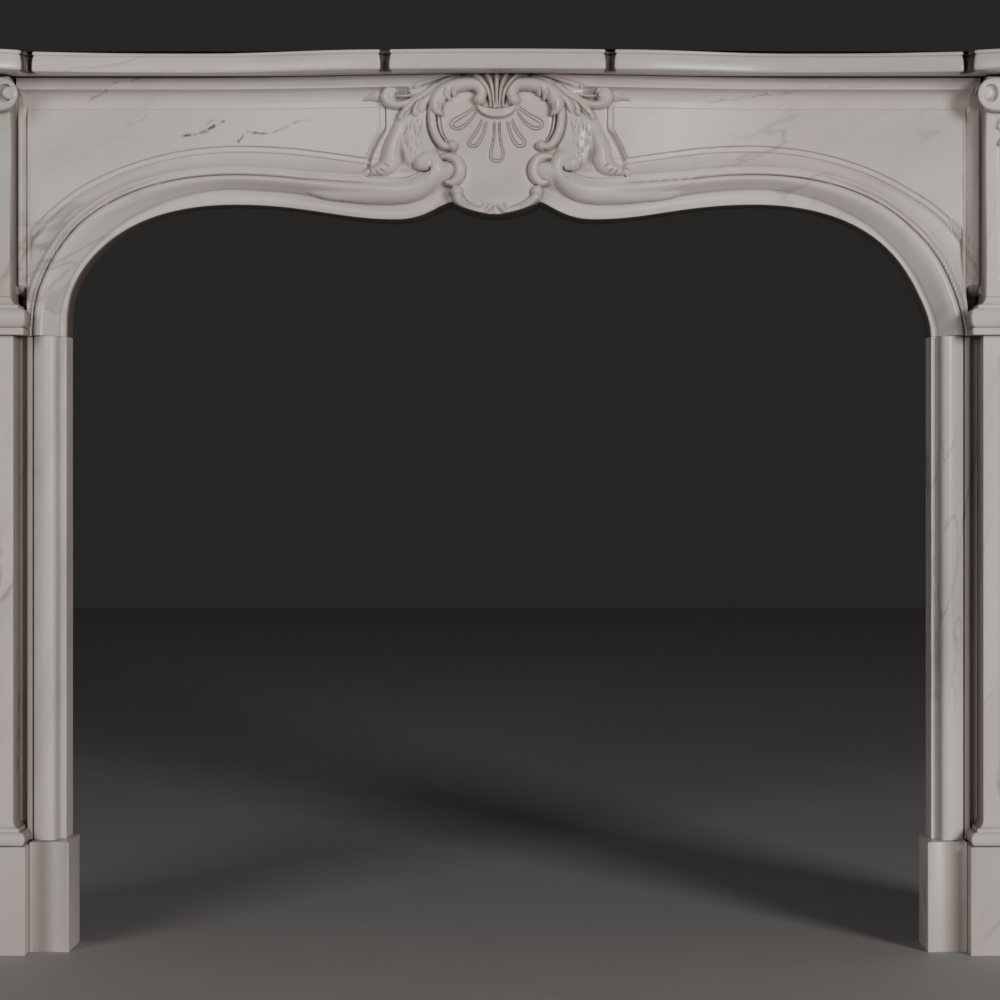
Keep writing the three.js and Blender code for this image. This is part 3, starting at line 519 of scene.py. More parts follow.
@dataclass
class Arch:
    """The head of the opening: its line on the front, and what its moulding does along it.

    Attributes:
        half: Half of the opening's width.
        spring: Height of the springing.
        notch: Place of the notch beside the middle lobe, over the springing.
        bow_depth: How far the middle stands forward of the ends.
        bow_half: Half of the bowed length.
        arris: Depth of the front at the edge of the opening.
        samples: How many points the line has.
    """

    half: float = 543.5
    spring: float = 768.5
    notch: tuple[float, float] = (54.5, 166.5)
    bow_depth: float = 38.0
    bow_half: float = 392.0
    arris: float = 148.0
    samples: int = 900
    line: np.ndarray = field(init=False)
    lobe: np.ndarray = field(init=False)

    def __post_init__(self) -> None:
        """Works out the head from the springing to the notch, and the lobe from there to the middle."""
        spans = [
            [(self.half, 0), (self.half, 60), (499, 165.5), (329, 165.5)],
            [(329, 165.5), (239, 165.5), (192, 145), (122, 145)],
            [(122, 145), (87, 145), (72.5, 161.5), self.notch],
        ]
        raw = np.vstack([bezier(span, 400) for span in spans])
        self.line = even(raw, np.linspace(0, 1, self.samples))
        self.lobe = bezier([self.notch, (44.5, 157.5), (18, 149.7), (0, 149.7)], 80)

    def bow(self, x: np.ndarray) -> np.ndarray:
        """How far forward the front stands at x: a squared cosine that ends at bow_half."""
        u = np.minimum(1.0, np.abs(x) / self.bow_half)
        return self.bow_depth * np.cos(u * np.pi / 2) ** 2

    def drift(self, x: np.ndarray, rise: np.ndarray) -> np.ndarray:
        """How far a place is moved along x, by its distance from the middle; none at the springing."""
        stops = [0, 300, 480, 522, 545, 585, 598, 602.7]
        moves = [-4.2, -5.0, -6.0, -6.6, -4.4, -2.7, -2.7, 0.0]
        return np.interp(np.abs(x), stops, moves) * smooth(rise / 60.0)

    def section(self, share: np.ndarray) -> tuple[np.ndarray, np.ndarray, np.ndarray]:
        """How far out the valley, the groove behind the roll and the field lie, at a share of the head."""
        stops = [0.0, 0.1, 0.22, 0.33, 0.42, 0.50, 0.66, 0.80, 1.0]
        valley = np.interp(share, stops, [8.0, 6.5, 6.5, 11.0, 16.0, 19.0, 18.0, 16.5, 16.0])
        groove = np.interp(share, stops, [39.5, 38.5, 38.0, 36.5, 36.0, 36.0, 36.0, 42.0, 48.0])
        edges = np.array([[84.0, 83.6, 78.2, 73.4, 71.5, 71.0, 71.6, 72.6, 73.6, 74.0]]).T
        shares = [0, 0.14, 0.206, 0.27, 0.325, 0.375, 0.43, 0.5, 0.66, 1]
        places = np.interp(np.linspace(0, 9, 60), range(10), shares)
        edge = np.interp(share, places, catmull(edges, 60)[:, 0])
        return valley, groove, edge

    def moulding(self, d: np.ndarray, share: np.ndarray) -> tuple[np.ndarray, np.ndarray]:
        """Depth of the moulding at a distance out from the arris, and the painted shade and grime in its
        creases.

        Fascia up to the valley, a roll whose crest leans outwards, a quirk, a bead, on the haunch a
        second ridge, then a hollow, a strip and the step up to the field. The valley dies out where
        the roll turns up into the volute.
        """
        valley, groove, edge = self.section(share)
        across = np.clip(d / valley, 0, 1)
        fascia = self.arris - 1.4 * np.sin(np.pi * across) - 0.6 * across
        u = np.clip((d - valley) / (groove - valley), 0, 1)
        soft = smooth((share - 0.80) / 0.12)
        crest = np.clip(1 - (2 * u**1.35 - 1) ** 2, 0, 1) ** mix(0.55, 1.0, soft)
        roll = mix(self.arris - 1.0, self.arris + 13.0, smooth(u * 1.1)) + crest * mix(8.5, 6.0, u)
        thin = mix(1.0, 0.4, smooth((share - 0.45) / 0.3))
        line = np.exp(-(((d - groove - 0.5) / mix(1.5, 0.8, smooth(share / 0.06))) ** 2)) * thin
        haunch = 1 - smooth((share - 0.3) / 0.15)
        places = [0.0, 1.0, 2.4, 4.0, 5.0, 5.8, 6.8, 8.2, 9.8, 11.4, 13.0]
        ridged = [160.0, 161.6, 162.4, 161.4, 159.2, 158.0, 159.6, 162.4, 162.8, 161.0, 157.6]
        single = [160.0, 161.6, 162.4, 162.0, 161.6, 161.6, 162.0, 162.4, 162.2, 160.4, 157.6]
        past = d - groove
        bead = mix(np.interp(past, places, single), np.interp(past, places, ridged), haunch) - 4.0 * line
        start = groove + 13.0
        w = np.clip((d - start) / np.maximum(edge - 8.0 - start, 2.0), 0, 1)
        hollow = mix(157.6, 148.6, np.sin(w * np.pi / 2) ** 0.9)
        strip = mix(148.6, 152.2, smooth((d - edge + 8.0) / 1.8))
        out = np.where(d < valley, fascia, roll)
        out = np.where(d < groove, out, bead)
        out = np.where(d < start, out, hollow)
        out = np.where(d < edge - 8.0, out, strip)
        # Painted shade, with some grime, along the quirk, the valley, the hollow by the strip and the step up
        # to the field.
        shade_and_grime = 0.75 * line + 0.42 * np.exp(-(((d - valley) / 2.4) ** 2)) * (1 - soft)
        shade_and_grime += mix(0.22, 0.42, haunch) * np.exp(-(((d - edge + 9.6) / 3.4) ** 2))
        shade_and_grime += 0.55 * np.exp(-(((d - edge) / 0.9) ** 2))
        return out, shade_and_grime * (d < edge + 2)


# ---------------------------------------------------------------- carving


class Crown(Enum):
    """How a stroke of carving rises across its width."""

    ROUND = "round"
    RIDGE = "ridge"
    FLAT = "flat"


@dataclass
class Relief:
    """A carved surface: its places on the front, how far forward each stands, and the painted shade and grime
    in its creases.
    """

    x: np.ndarray
    z: np.ndarray
    f: np.ndarray
    crease_shade_and_grime: np.ndarray

    def window(self, low: np.ndarray, high: np.ndarray) -> np.ndarray:
        """Which places lie in a rectangle."""
        return (self.x > low[0]) & (self.x < high[0]) & (self.z > low[1]) & (self.z < high[1])

    def stroke(
        self,
        stops: list,
        ground: float,
        crown: Crown = Crown.ROUND,
        blend: float = 1.2,
        power: float = 0.62,
        rim: float = 0.42,
    ) -> None:
        """Adds a raised stroke along a smooth line.

        Args:
            stops: Rows of x, z, width and rise.
            ground: Depth that the stroke rises from.
            crown: How it rises across its width.
            blend: Radius of the crease where it meets what is there.
            power: How full the rounded crown is.
            rim: How dark the painted shade line along its edge is.
        """
        line = catmull(np.array(stops, float), 14 * len(stops))
        reach = line[:, 2].max() / 2 + 2
        where = self.window(line[:, :2].min(0) - reach, line[:, :2].max(0) + reach)
        gap, share = nearest(self.x[where], self.z[where], line)
        at = share * (len(line) - 1)
        width = np.interp(at, np.arange(len(line)), line[:, 2])
        rise = np.interp(at, np.arange(len(line)), line[:, 3])
        r = np.clip(gap / np.maximum(width / 2, 0.3), 0, 1.4)
        if crown is Crown.ROUND:
            shape = np.clip(1 - r * r, 0, 1) ** power
        elif crown is Crown.RIDGE:
            shape = np.clip(1 - r, 0, 1) ** 0.8
        else:
            shape = smooth((1 - r) / 0.35)
        height = np.where(r < 1, ground + rise * shape, -1e3)
        above = np.clip((height - self.f[where]) / 1.5, 0, 1)
        # Painted shade: a dark line just outside the stroke's edge, where it meets lower ground.
        edge_line = rim * np.exp(-(((gap - width / 2 - 0.2) / 0.9) ** 2)) * (1 - above)
        edge_line *= smooth((ground + 0.7 * rise - self.f[where]) / 2.0)
        self.crease_shade_and_grime[where] = np.maximum(self.crease_shade_and_grime[where] * (1 - above), edge_line)
        self.f[where] = soft_max(self.f[where], height, blend)

    def knob(self, x: float, z: float, radius: float, ground: float, rise: float) -> None:
        """Adds a rounded knob: half an ellipsoid over its ground."""
        r = np.hypot(self.x - x, self.z - z) / radius
        height = np.where(r < 1, ground + rise * np.sqrt(np.clip(1 - r * r, 0, 1)), -1e3)
        self.crease_shade_and_grime *= 1 - np.clip((height - self.f) / 1.5, 0, 1)
        self.f[:] = soft_max(self.f, height, 1.0)

    def shade(self, x: float, z: float, wide: float, high: float, amount: float) -> None:
        """Lays painted shade over a soft round patch."""
        far = np.hypot((self.x - x) / wide, (self.z - z) / high)
        self.crease_shade_and_grime[:] = np.maximum(self.crease_shade_and_grime, amount * smooth(1.4 - far))

    def groove(self, stops: list, width: float, depth: float, taper: float = 0.15, crease_shade_and_grime: float = 0.62) -> None:
        """Cuts a V along a smooth line, running out at both ends, with painted shade and grime in its bottom.
        """
        line = catmull(np.array(stops, float), 12 * len(stops))
        where = self.window(line.min(0) - width, line.max(0) + width)
        gap, share = nearest(self.x[where], self.z[where], line)
        run = smooth(share / taper) * smooth((1 - share) / taper)
        cut = run * np.clip(1 - gap / (width / 2), 0, 1) ** 0.8
        self.f[where] -= depth * cut
        self.crease_shade_and_grime[where] = np.maximum(self.crease_shade_and_grime[where], crease_shade_and_grime * cut)

    def plate(self, outline: list, level: float, edge: float, dome: float = 0.0) -> None:
        """Raises or lowers an outlined place to a level, with an eased edge.

        Args:
            outline: Corners of the place, smoothed into a closed line.
            level: Depth of the place.
            edge: Width over which its edge is eased.
            dome: How much its middle swells.
        """
        corners = np.array(outline, float)
        line = catmull(np.vstack([corners, corners[:1]]), 12 * len(corners))
        where = self.window(line.min(0) - edge, line.max(0) + edge)
        x, z = self.x[where], self.z[where]
        gap = nearest(x, z, line)[0]
        signed = np.where(inside(x, z, line), gap, -gap)
        share = smooth(0.5 + signed / edge)
        self.f[where] = mix(self.f[where], level + dome * smooth(signed / 18.0), share)
        self.crease_shade_and_grime[where] *= 1 - share


@dataclass
class Cartouche:
    """The carving in the middle of the frieze, drawn as its right half. z is over the springing."""

    spring: float = 768.5

    def carve(self, relief: Relief) -> None:
        """Adds every stroke, from the ground up."""
        relief.z = relief.z - self.spring
        self.shield(relief)
        self.haunch(relief)
        self.leaves(relief)
        self.scrolls(relief)
        self.volute(relief)
        self.paw(relief)
        self.collar(relief)
        relief.z = relief.z + self.spring

    def shield(self, relief: Relief) -> None:
        """The smooth field in the middle, with five pairs of drop-shaped lines cut in it."""
        outline = [
            (-60, 305), (-22, 300), (22, 300), (60, 305), (78, 285), (78, 250), (62, 232), (52, 215),
            (46, 200),
            (55, 185), (46, 168), (30, 153), (0, 147), (-30, 153), (-46, 168), (-55, 185), (-46, 200),
            (-52, 215),
            (-62, 232), (-78, 250), (-78, 285),
        ]
        relief.plate(outline, 158.2, 5.0, 1.6)
        drops = [
            [(25.9, 284.9), (39.8, 275.3), (54.2, 267.5), (58.1, 260.8), (54.2, 255.8), (45.8, 254.6),
             (34.9, 262), (22.9, 277.7)],
            [(24.3, 282.2), (38.6, 272.0), (50.6, 264.6), (54.4, 260.6), (51.4, 257.9), (44.8, 258.8),
             (34.2, 266.6), (23.9, 279.7)],
            [(18.1, 270.5), (25.3, 254.8), (34.7, 242.2), (35.8, 236.1), (31.3, 232.8), (23.9, 234.3),
             (16.3, 246.4), (11.3, 267.5)],
            [(16.9, 268), (22.6, 253), (31.6, 241.1), (32.5, 237.5), (29.5, 235.9), (25.3, 237.6),
             (18.9, 248.6), (13.7, 266.4)],
            [(4.4, 267), (5.0, 245), (8.8, 227), (8.4, 218.5), (3.9, 214.4), (0, 213.8), (-3.9, 214.4),
             (-8.4, 218.5)],
            [(2.2, 266.5), (2.8, 245), (5.9, 226), (5.4, 219.5), (2.4, 217.4), (0, 217.2), (-2.4, 217.4)],
        ]
        for drop in drops:
            relief.groove(drop, 2.5, 1.5, 0.03, 0.95)

    def haunch(self, relief: Relief) -> None:
        """The cushion of hair between the leg and the scrolled frame, with short wavy cuts."""
        outline = [
            (84, 283), (98, 274), (116, 270), (123, 262), (121, 246), (118, 228), (112, 214), (103, 213),
            (90, 226),
            (76, 232), (82, 248), (86, 266),
        ]
        relief.plate(outline, 161.5, 8.0, 3.0)
        cuts = [(104.5, 265.8, 8, 4), (98.4, 265.8, 9, -2.5), (110.8, 258.2, 10, 1.3), (107, 258.2, 14, 0),
                (101.9, 257, 14, -1.3), (96.8, 258.2, 5, -1.3), (91.8, 263.3, 10, 0),
                (118.4, 255.7, 15, 2.5),
                (114.6, 249.3, 9, 1.3), (112.0, 253.1, 13, 1.3), (100.6, 250.6, 10, -1.3),
                (94.3, 255.7, 15, -1.3),
                (96.8, 248.1, 8, -1.3), (113.3, 240.4, 13, 1.3), (110.8, 237.9, 13, 0.5),
                (104.5, 244, 3, 0),
                (106, 229, 9, 1), (100, 236, 10, -1), (94.5, 240, 8, -1.5), (101, 224.5, 7, 1)]
        for x, z, length, lean in cuts:
            cut = [(x - lean / 2, z + length / 2), (x + lean / 5 + 0.6, z), (x + lean / 2, z - length / 2)]
            relief.groove(cut, 2.3, 1.2, 0.3, 0.72)

    def leaves(self, relief: Relief) -> None:
        """The overlapping leaf blades from the curled neck to the top scroll, and their hanging tips."""
        over = 163.0
        relief.plate([(110, 304), (104, 311), (84, 317), (60, 322), (36, 324), (30, 316), (52, 310),
                      (70, 303),
                      (84, 285), (94, 272), (106, 270), (118, 266), (122, 272), (114, 283),
                      (104, 292)], over, 4.0, 2.5)
        blades = [
            [(108.4, 307.8, 6, 5), (98.8, 310.4, 8.4, 6.5), (84.3, 314.6, 7, 6), (67.5, 319.3, 5.5, 6),
             (45.8, 322.4, 3.6, 5)],
            [(101.5, 276.0, 9, 7), (98, 285, 13, 8.5), (87.5, 296.5, 11.5, 8.5), (76.5, 306.2, 8.6, 8),
             (61.4, 316, 7, 7), (43.4, 320, 4.8, 6)],
            [(119.8, 269.8, 7, 6), (113.5, 278, 10.5, 7.5), (102.6, 288.5, 10, 7.5), (90, 299, 8, 7),
             (76, 310.5, 6, 6)],
            [(93, 279, 7, 5), (88, 288, 9, 7), (81, 297, 8, 7.5), (72, 306, 7, 8)],
        ]
        for blade in blades:
            relief.stroke(blade, over - 1.5, Crown.ROUND, 0.5, 0.6)
        cuts = [
            [(84.3, 297.2), (98.8, 289.7), (104.6, 281.3), (105.9, 273.4)],
            [(97.6, 275.9), (97.8, 281.9), (92.8, 290.9), (84.3, 297.9), (74, 308), (60, 317.5)],
            [(91.6, 302.4), (79.5, 311.4), (65.1, 318.6), (49.4, 321.5), (34, 320.6)],
            [(96.5, 307.5), (84, 312), (70, 317), (54, 320.8)],
            [(116.9, 269.3), (113.3, 274.7), (107.4, 280.4), (98, 290)],
            [(110.2, 271.4), (107.4, 274.8), (104, 281)],
            [(88.9, 281.3), (84.5, 288), (79, 296), (70, 305)],
            [(101, 310.9), (103.6, 307.6), (102.5, 304.6)],
        ]
        for cut in cuts:
            relief.groove(cut, 2.4, 1.7, 0.15, 0.85)

    def scrolls(self, relief: Relief) -> None:
        """The two C-scrolls and the frame between them, on each side of the shield."""
        relief.stroke([(20.6, 292.6, 12, 9), (18.4, 301.2, 14, 11), (24.4, 309.8, 15.5, 12),
                       (35.4, 311.4, 17, 13),
                       (48.2, 310.2, 17.5, 13), (61.4, 304.9, 18, 13), (71, 296.4, 19, 13),
                       (75.2, 286.6, 18, 13),
                       (73.6, 278.6, 14, 12.5), (68.2, 272.6, 3.4, 9)], 163.0, Crown.ROUND, 0.6, 0.45)
        relief.knob(21.0, 291.8, 7.4, 164.0, 12.0)
        relief.stroke([(59.6, 292.6, 4.6, 8), (60.4, 299, 8.4, 10.5),
                       (57.4, 305.4, 9.6, 12)], 162.0, Crown.ROUND, 0.6)
        relief.stroke([(53.4, 297.4, 3.8, 7), (52, 302.4, 7.2, 9.5),
                       (48.2, 307.4, 8.4, 11.5)], 162.0, Crown.ROUND, 0.6)
        for cut in ([(63.9, 292.5), (65.2, 300.2), (60.2, 307.1)], [(55.6, 296.5), (56, 302.4),
                     (52.0, 306.6)],
                    [(73.4, 276.2), (71.4, 283), (74, 289)], [(70.6, 275.4), (67.8, 281), (68.4, 286.4)]):
            relief.groove(cut, 2.2, 1.9, 0.2, 0.8)

        relief.stroke([(80.5, 282.3, 8.6, 6), (80.1, 266.9, 10, 8), (77.7, 253.6, 10.6, 9),
                       (72, 241.5, 10.6, 9),
                       (64.4, 234, 9.4, 9), (56.4, 234.4, 8, 8)], 162.0, Crown.ROUND, 0.6, 0.45)
        relief.stroke([(72.3, 273, 3.2, 2.4), (71.2, 260.8, 3.3, 2.6), (68.2, 249.6, 3.3, 2.6),
                       (62, 240, 3, 2.6)],
                      159.5, Crown.FLAT, 0.4)
        for cut in ([(74.5, 274), (73.7, 262), (70.8, 250.6), (63.6, 239.5)],
                    [(69.7, 272.3), (68.5, 260.2), (65.5, 248.8), (60, 239.9)]):
            relief.groove(cut, 2.2, 2.0, 0.06, 0.85)
        relief.knob(55.2, 234.6, 6.6, 160.0, 13.0)

        relief.stroke([(67, 221.7, 6.6, 7), (59.6, 221.4, 10, 9.5), (50.8, 217.6, 13, 11.5),
                       (46, 206.6, 14.6, 12.5),
                       (47.9, 195.8, 13.6, 11.5), (54.6, 189.4, 10.6, 9.5),
                       (61, 189.2, 6.8, 8)], 159.0, Crown.ROUND, 0.7, 0.45)
        relief.stroke([(51.4, 179, 11, 9), (47.6, 169.8, 12, 10), (38.6, 162.2, 11.6, 9.5),
                       (27.2, 156.4, 10.4, 8),
                       (17, 153.6, 8.6, 6.5)], 158.5, Crown.ROUND, 0.7, 0.45)
        for cut in ([(43.4, 174.6), (36.4, 166.9), (26.6, 160.6), (17.8, 158.8)],
                    [(44.9, 169.8), (38.0, 163.4), (28.2, 157.6)]):
            relief.groove(cut, 1.7, 1.7, 0.1)
        relief.knob(50.0, 178.2, 7.4, 160.0, 11.0)

        relief.stroke([(1.6, 163, 3.0, 3.5), (7.0, 158.6, 7.6, 6.5), (13.0, 153.2, 8.6, 6.5),
                       (20, 151.6, 4, 4)], 158.0,
                      Crown.RIDGE, 0.6)
        relief.stroke([(12.6, 163.6, 3.2, 4), (16.2, 157.6, 7.4, 6.5),
                       (23.6, 152.0, 5, 4.5)], 158.0, Crown.RIDGE, 0.6)
        relief.stroke([(0, 165.2, 4, 2.4), (0, 157.5, 7, 4.2),
                       (0, 151.5, 8.5, 4.2)], 158.0, Crown.RIDGE, 0.6)
        for cut in ([(0.0, 160.4), (4.6, 155.8), (8, 151.6)], [(9.8, 164.4), (9.4, 159.4), (12.4, 155.2)]):
            relief.groove(cut, 1.7, 2.0, 0.1)

    def volute(self, relief: Relief) -> None:
        """The big volute that the roll of the arch turns up into, coiled into a ball."""
        # Painted shade in the hollow under the volute, beside the paw.
        relief.shade(110.0, 205.5, 15.0, 4.0, 0.42)
        relief.stroke([(236, 190.0, 20, 4), (212, 183.2, 24, 7), (176, 180.7, 28.4, 10),
                       (148.2, 180.1, 31, 12.5),
                       (124.1, 180.0, 32, 14), (104.2, 183.1, 31.2, 15), (87.6, 190.9, 28, 15.5),
                       (77.4, 201.8, 24, 15.5),
                       (75.8, 212.6, 22, 15), (80.2, 220.2, 21, 14.5), (88.0, 221.6, 20, 14),
                       (94.0, 216.4, 20, 13.5)],
                      152.6, Crown.ROUND, 1.6, 0.6, 0.0)
        relief.knob(86.5, 213.6, 10.5, 155.0, 12.6)
        relief.knob(93.6, 214.4, 11.2, 155.0, 13.5)
        relief.groove([(102.8, 225.6), (105.6, 217.0), (104.4, 209.0), (100.2, 203.6)], 2.0, 0.8, 0.3, 0.6)
        relief.groove([(82.8, 209.4), (83.8, 204.6), (88.2, 203.2), (95.6, 203.4)], 3.2, 6.0, 0.12, 1.0)
        relief.groove([(82.6, 206.4), (83.6, 199.6), (88.6, 193.4), (97.0, 187.4)], 2.0, 1.2, 0.4, 0.6)

    def paw(self, relief: Relief) -> None:
        """The lion's leg and foot beside the volute, and the curled neck and beak over it."""
        # Painted shade in the strip beside the leg.
        relief.shade(117.5, 221.0, 4.5, 13.0, 0.6)
        relief.stroke([(118.0, 272, 12, 6), (120.6, 262, 15, 8), (124.2, 251.0, 18, 10.5),
                       (128.6, 240.0, 20, 12),
                       (131.4, 229.0, 22.5, 12.5),
                       (132.4, 219.0, 25, 12)], 155.0, Crown.ROUND, 2.4, 0.75, 0.3)
        relief.stroke([(128.5, 218.0, 19, 9.5), (133.5, 212.0, 22, 11.5), (141.0, 208.4, 20, 11.5),
                       (148.8, 206.0, 15.5, 10),
                       (155.2, 204.4, 11, 8)], 155.0, Crown.ROUND, 2.0, 0.7, 0.3)
        relief.stroke([(159.2, 204.6, 7.5, 6.5), (163.2, 203.2, 7, 6.5),
                       (167.4, 202.2, 3.6, 4.5)], 155.0, Crown.ROUND, 0.5)
        toes = [
            [(141.4, 213.6), (137.4, 211.8), (132.2, 207.0)],
            [(146.6, 208.4), (142.4, 204.6), (136.6, 201.2)],
            [(151.6, 206.6), (148.8, 202.6), (145.4, 198.8)],
            [(157.2, 209.6), (157.8, 205.4), (156.0, 200.8)],
        ]
        for toe in toes:
            relief.groove(toe, 2.4, 2.2, 0.25, 0.85)

        relief.stroke([(124.4, 301.4, 4.6, 7), (128.8, 306.0, 8.4, 9), (135.6, 304.6, 11, 11),
                       (139.4, 296.8, 12, 11.5),
                       (134.6, 289.4, 12, 11.5), (126.0, 286.6, 11, 11), (117.0, 287.0, 10, 10.5),
                       (106.4, 291.0, 9, 9.5),
                       (95.6, 298.0, 8, 8), (84.0, 305.0, 6.4, 7)], 157.0, Crown.ROUND, 0.6, 0.6, 0.55)
        relief.stroke([(123.6, 297.6, 2.6, 6), (115.7, 296.8, 3.8, 7), (106, 298.6, 4.2, 7),
                       (97.6, 303.4, 4.2, 7),
                       (86.7, 309.6, 3.6, 7)], 157.0, Crown.ROUND, 0.4, 0.6, 0.6)
        relief.knob(132.6, 298.0, 8.4, 158.0, 10.5)
        # Painted shade in the hollow under the curled neck.
        relief.shade(118.0, 301.4, 8.0, 3.6, 0.62)
        relief.groove([(126.4, 302.4), (125.6, 297.6), (128.6, 293.0)], 2.4, 2.4, 0.25, 0.9)
        relief.groove([(124.6, 293.6), (116.0, 292.6), (107.6, 294.6), (98.0, 300.8)], 2.0, 1.6, 0.12, 0.8)
        relief.stroke([(143.6, 299.2, 13.6, 5), (148.6, 298.6, 14.4, 7), (156.0, 296.4, 8, 6),
                       (165.0, 293.4, 1.6, 3)], 155.0,
                      Crown.RIDGE, 0.4, 0.62, 0.5)

    def collar(self, relief: Relief) -> None:
        """The crescent collar and the reeds that fan out over it."""
        reeds = [
            [(2.9, 282, 3.6, 5), (4.4, 296, 4.2, 7), (7.0, 310, 6.0, 9), (12.0, 323, 8.4, 9)],
            [(7.4, 283, 3.0, 5), (8.2, 294, 4.2, 7), (12.4, 306, 6.6, 9), (21.6, 318.4, 8.0, 9),
             (28, 323, 6, 8)],
            [(0.0, 282, 3.2, 5), (0.0, 300, 4.6, 7), (0.0, 323, 7.6, 9)],
        ]
        relief.plate([(-8, 281), (-11, 300), (-24, 320), (-30, 326), (30, 326), (24, 320), (11, 300),
                      (8, 281)], 161.5, 3.0)
        for reed in reeds:
            relief.stroke(reed, 160.5, Crown.ROUND, 0.3, 0.6, 0.08)
        relief.crease_shade_and_grime *= 1 - 0.6 * (np.abs(relief.x) < 9) * (relief.z > 282)
        for cut in ([(31.9, 323.5), (21.5, 313.8), (14.6, 305.4), (10.6, 293.4), (9.6, 284.5)],
                    [(16.4, 323.5), (9.8, 312.6), (6.6, 299.4), (5.4, 283.0)],
                    [(4.2, 323.5), (2.5, 305.4), (1.8, 283.0)]):
            relief.groove(cut, 1.8, 1.5, 0.02, 0.85)
        relief.stroke([(-24.4, 285.6, 3, 5), (-19.4, 280.4, 8.6, 8), (-11, 276.2, 12.4, 10),
                       (0, 274.4, 13.4, 10.5),
                       (11, 276.2, 12.4, 10), (19.4, 280.4, 8.6, 8),
                       (24.4, 285.6, 3, 5)], 159.0, Crown.FLAT, 0.5, 0.4, 0.7)


# ---------------------------------------------------------------- frieze


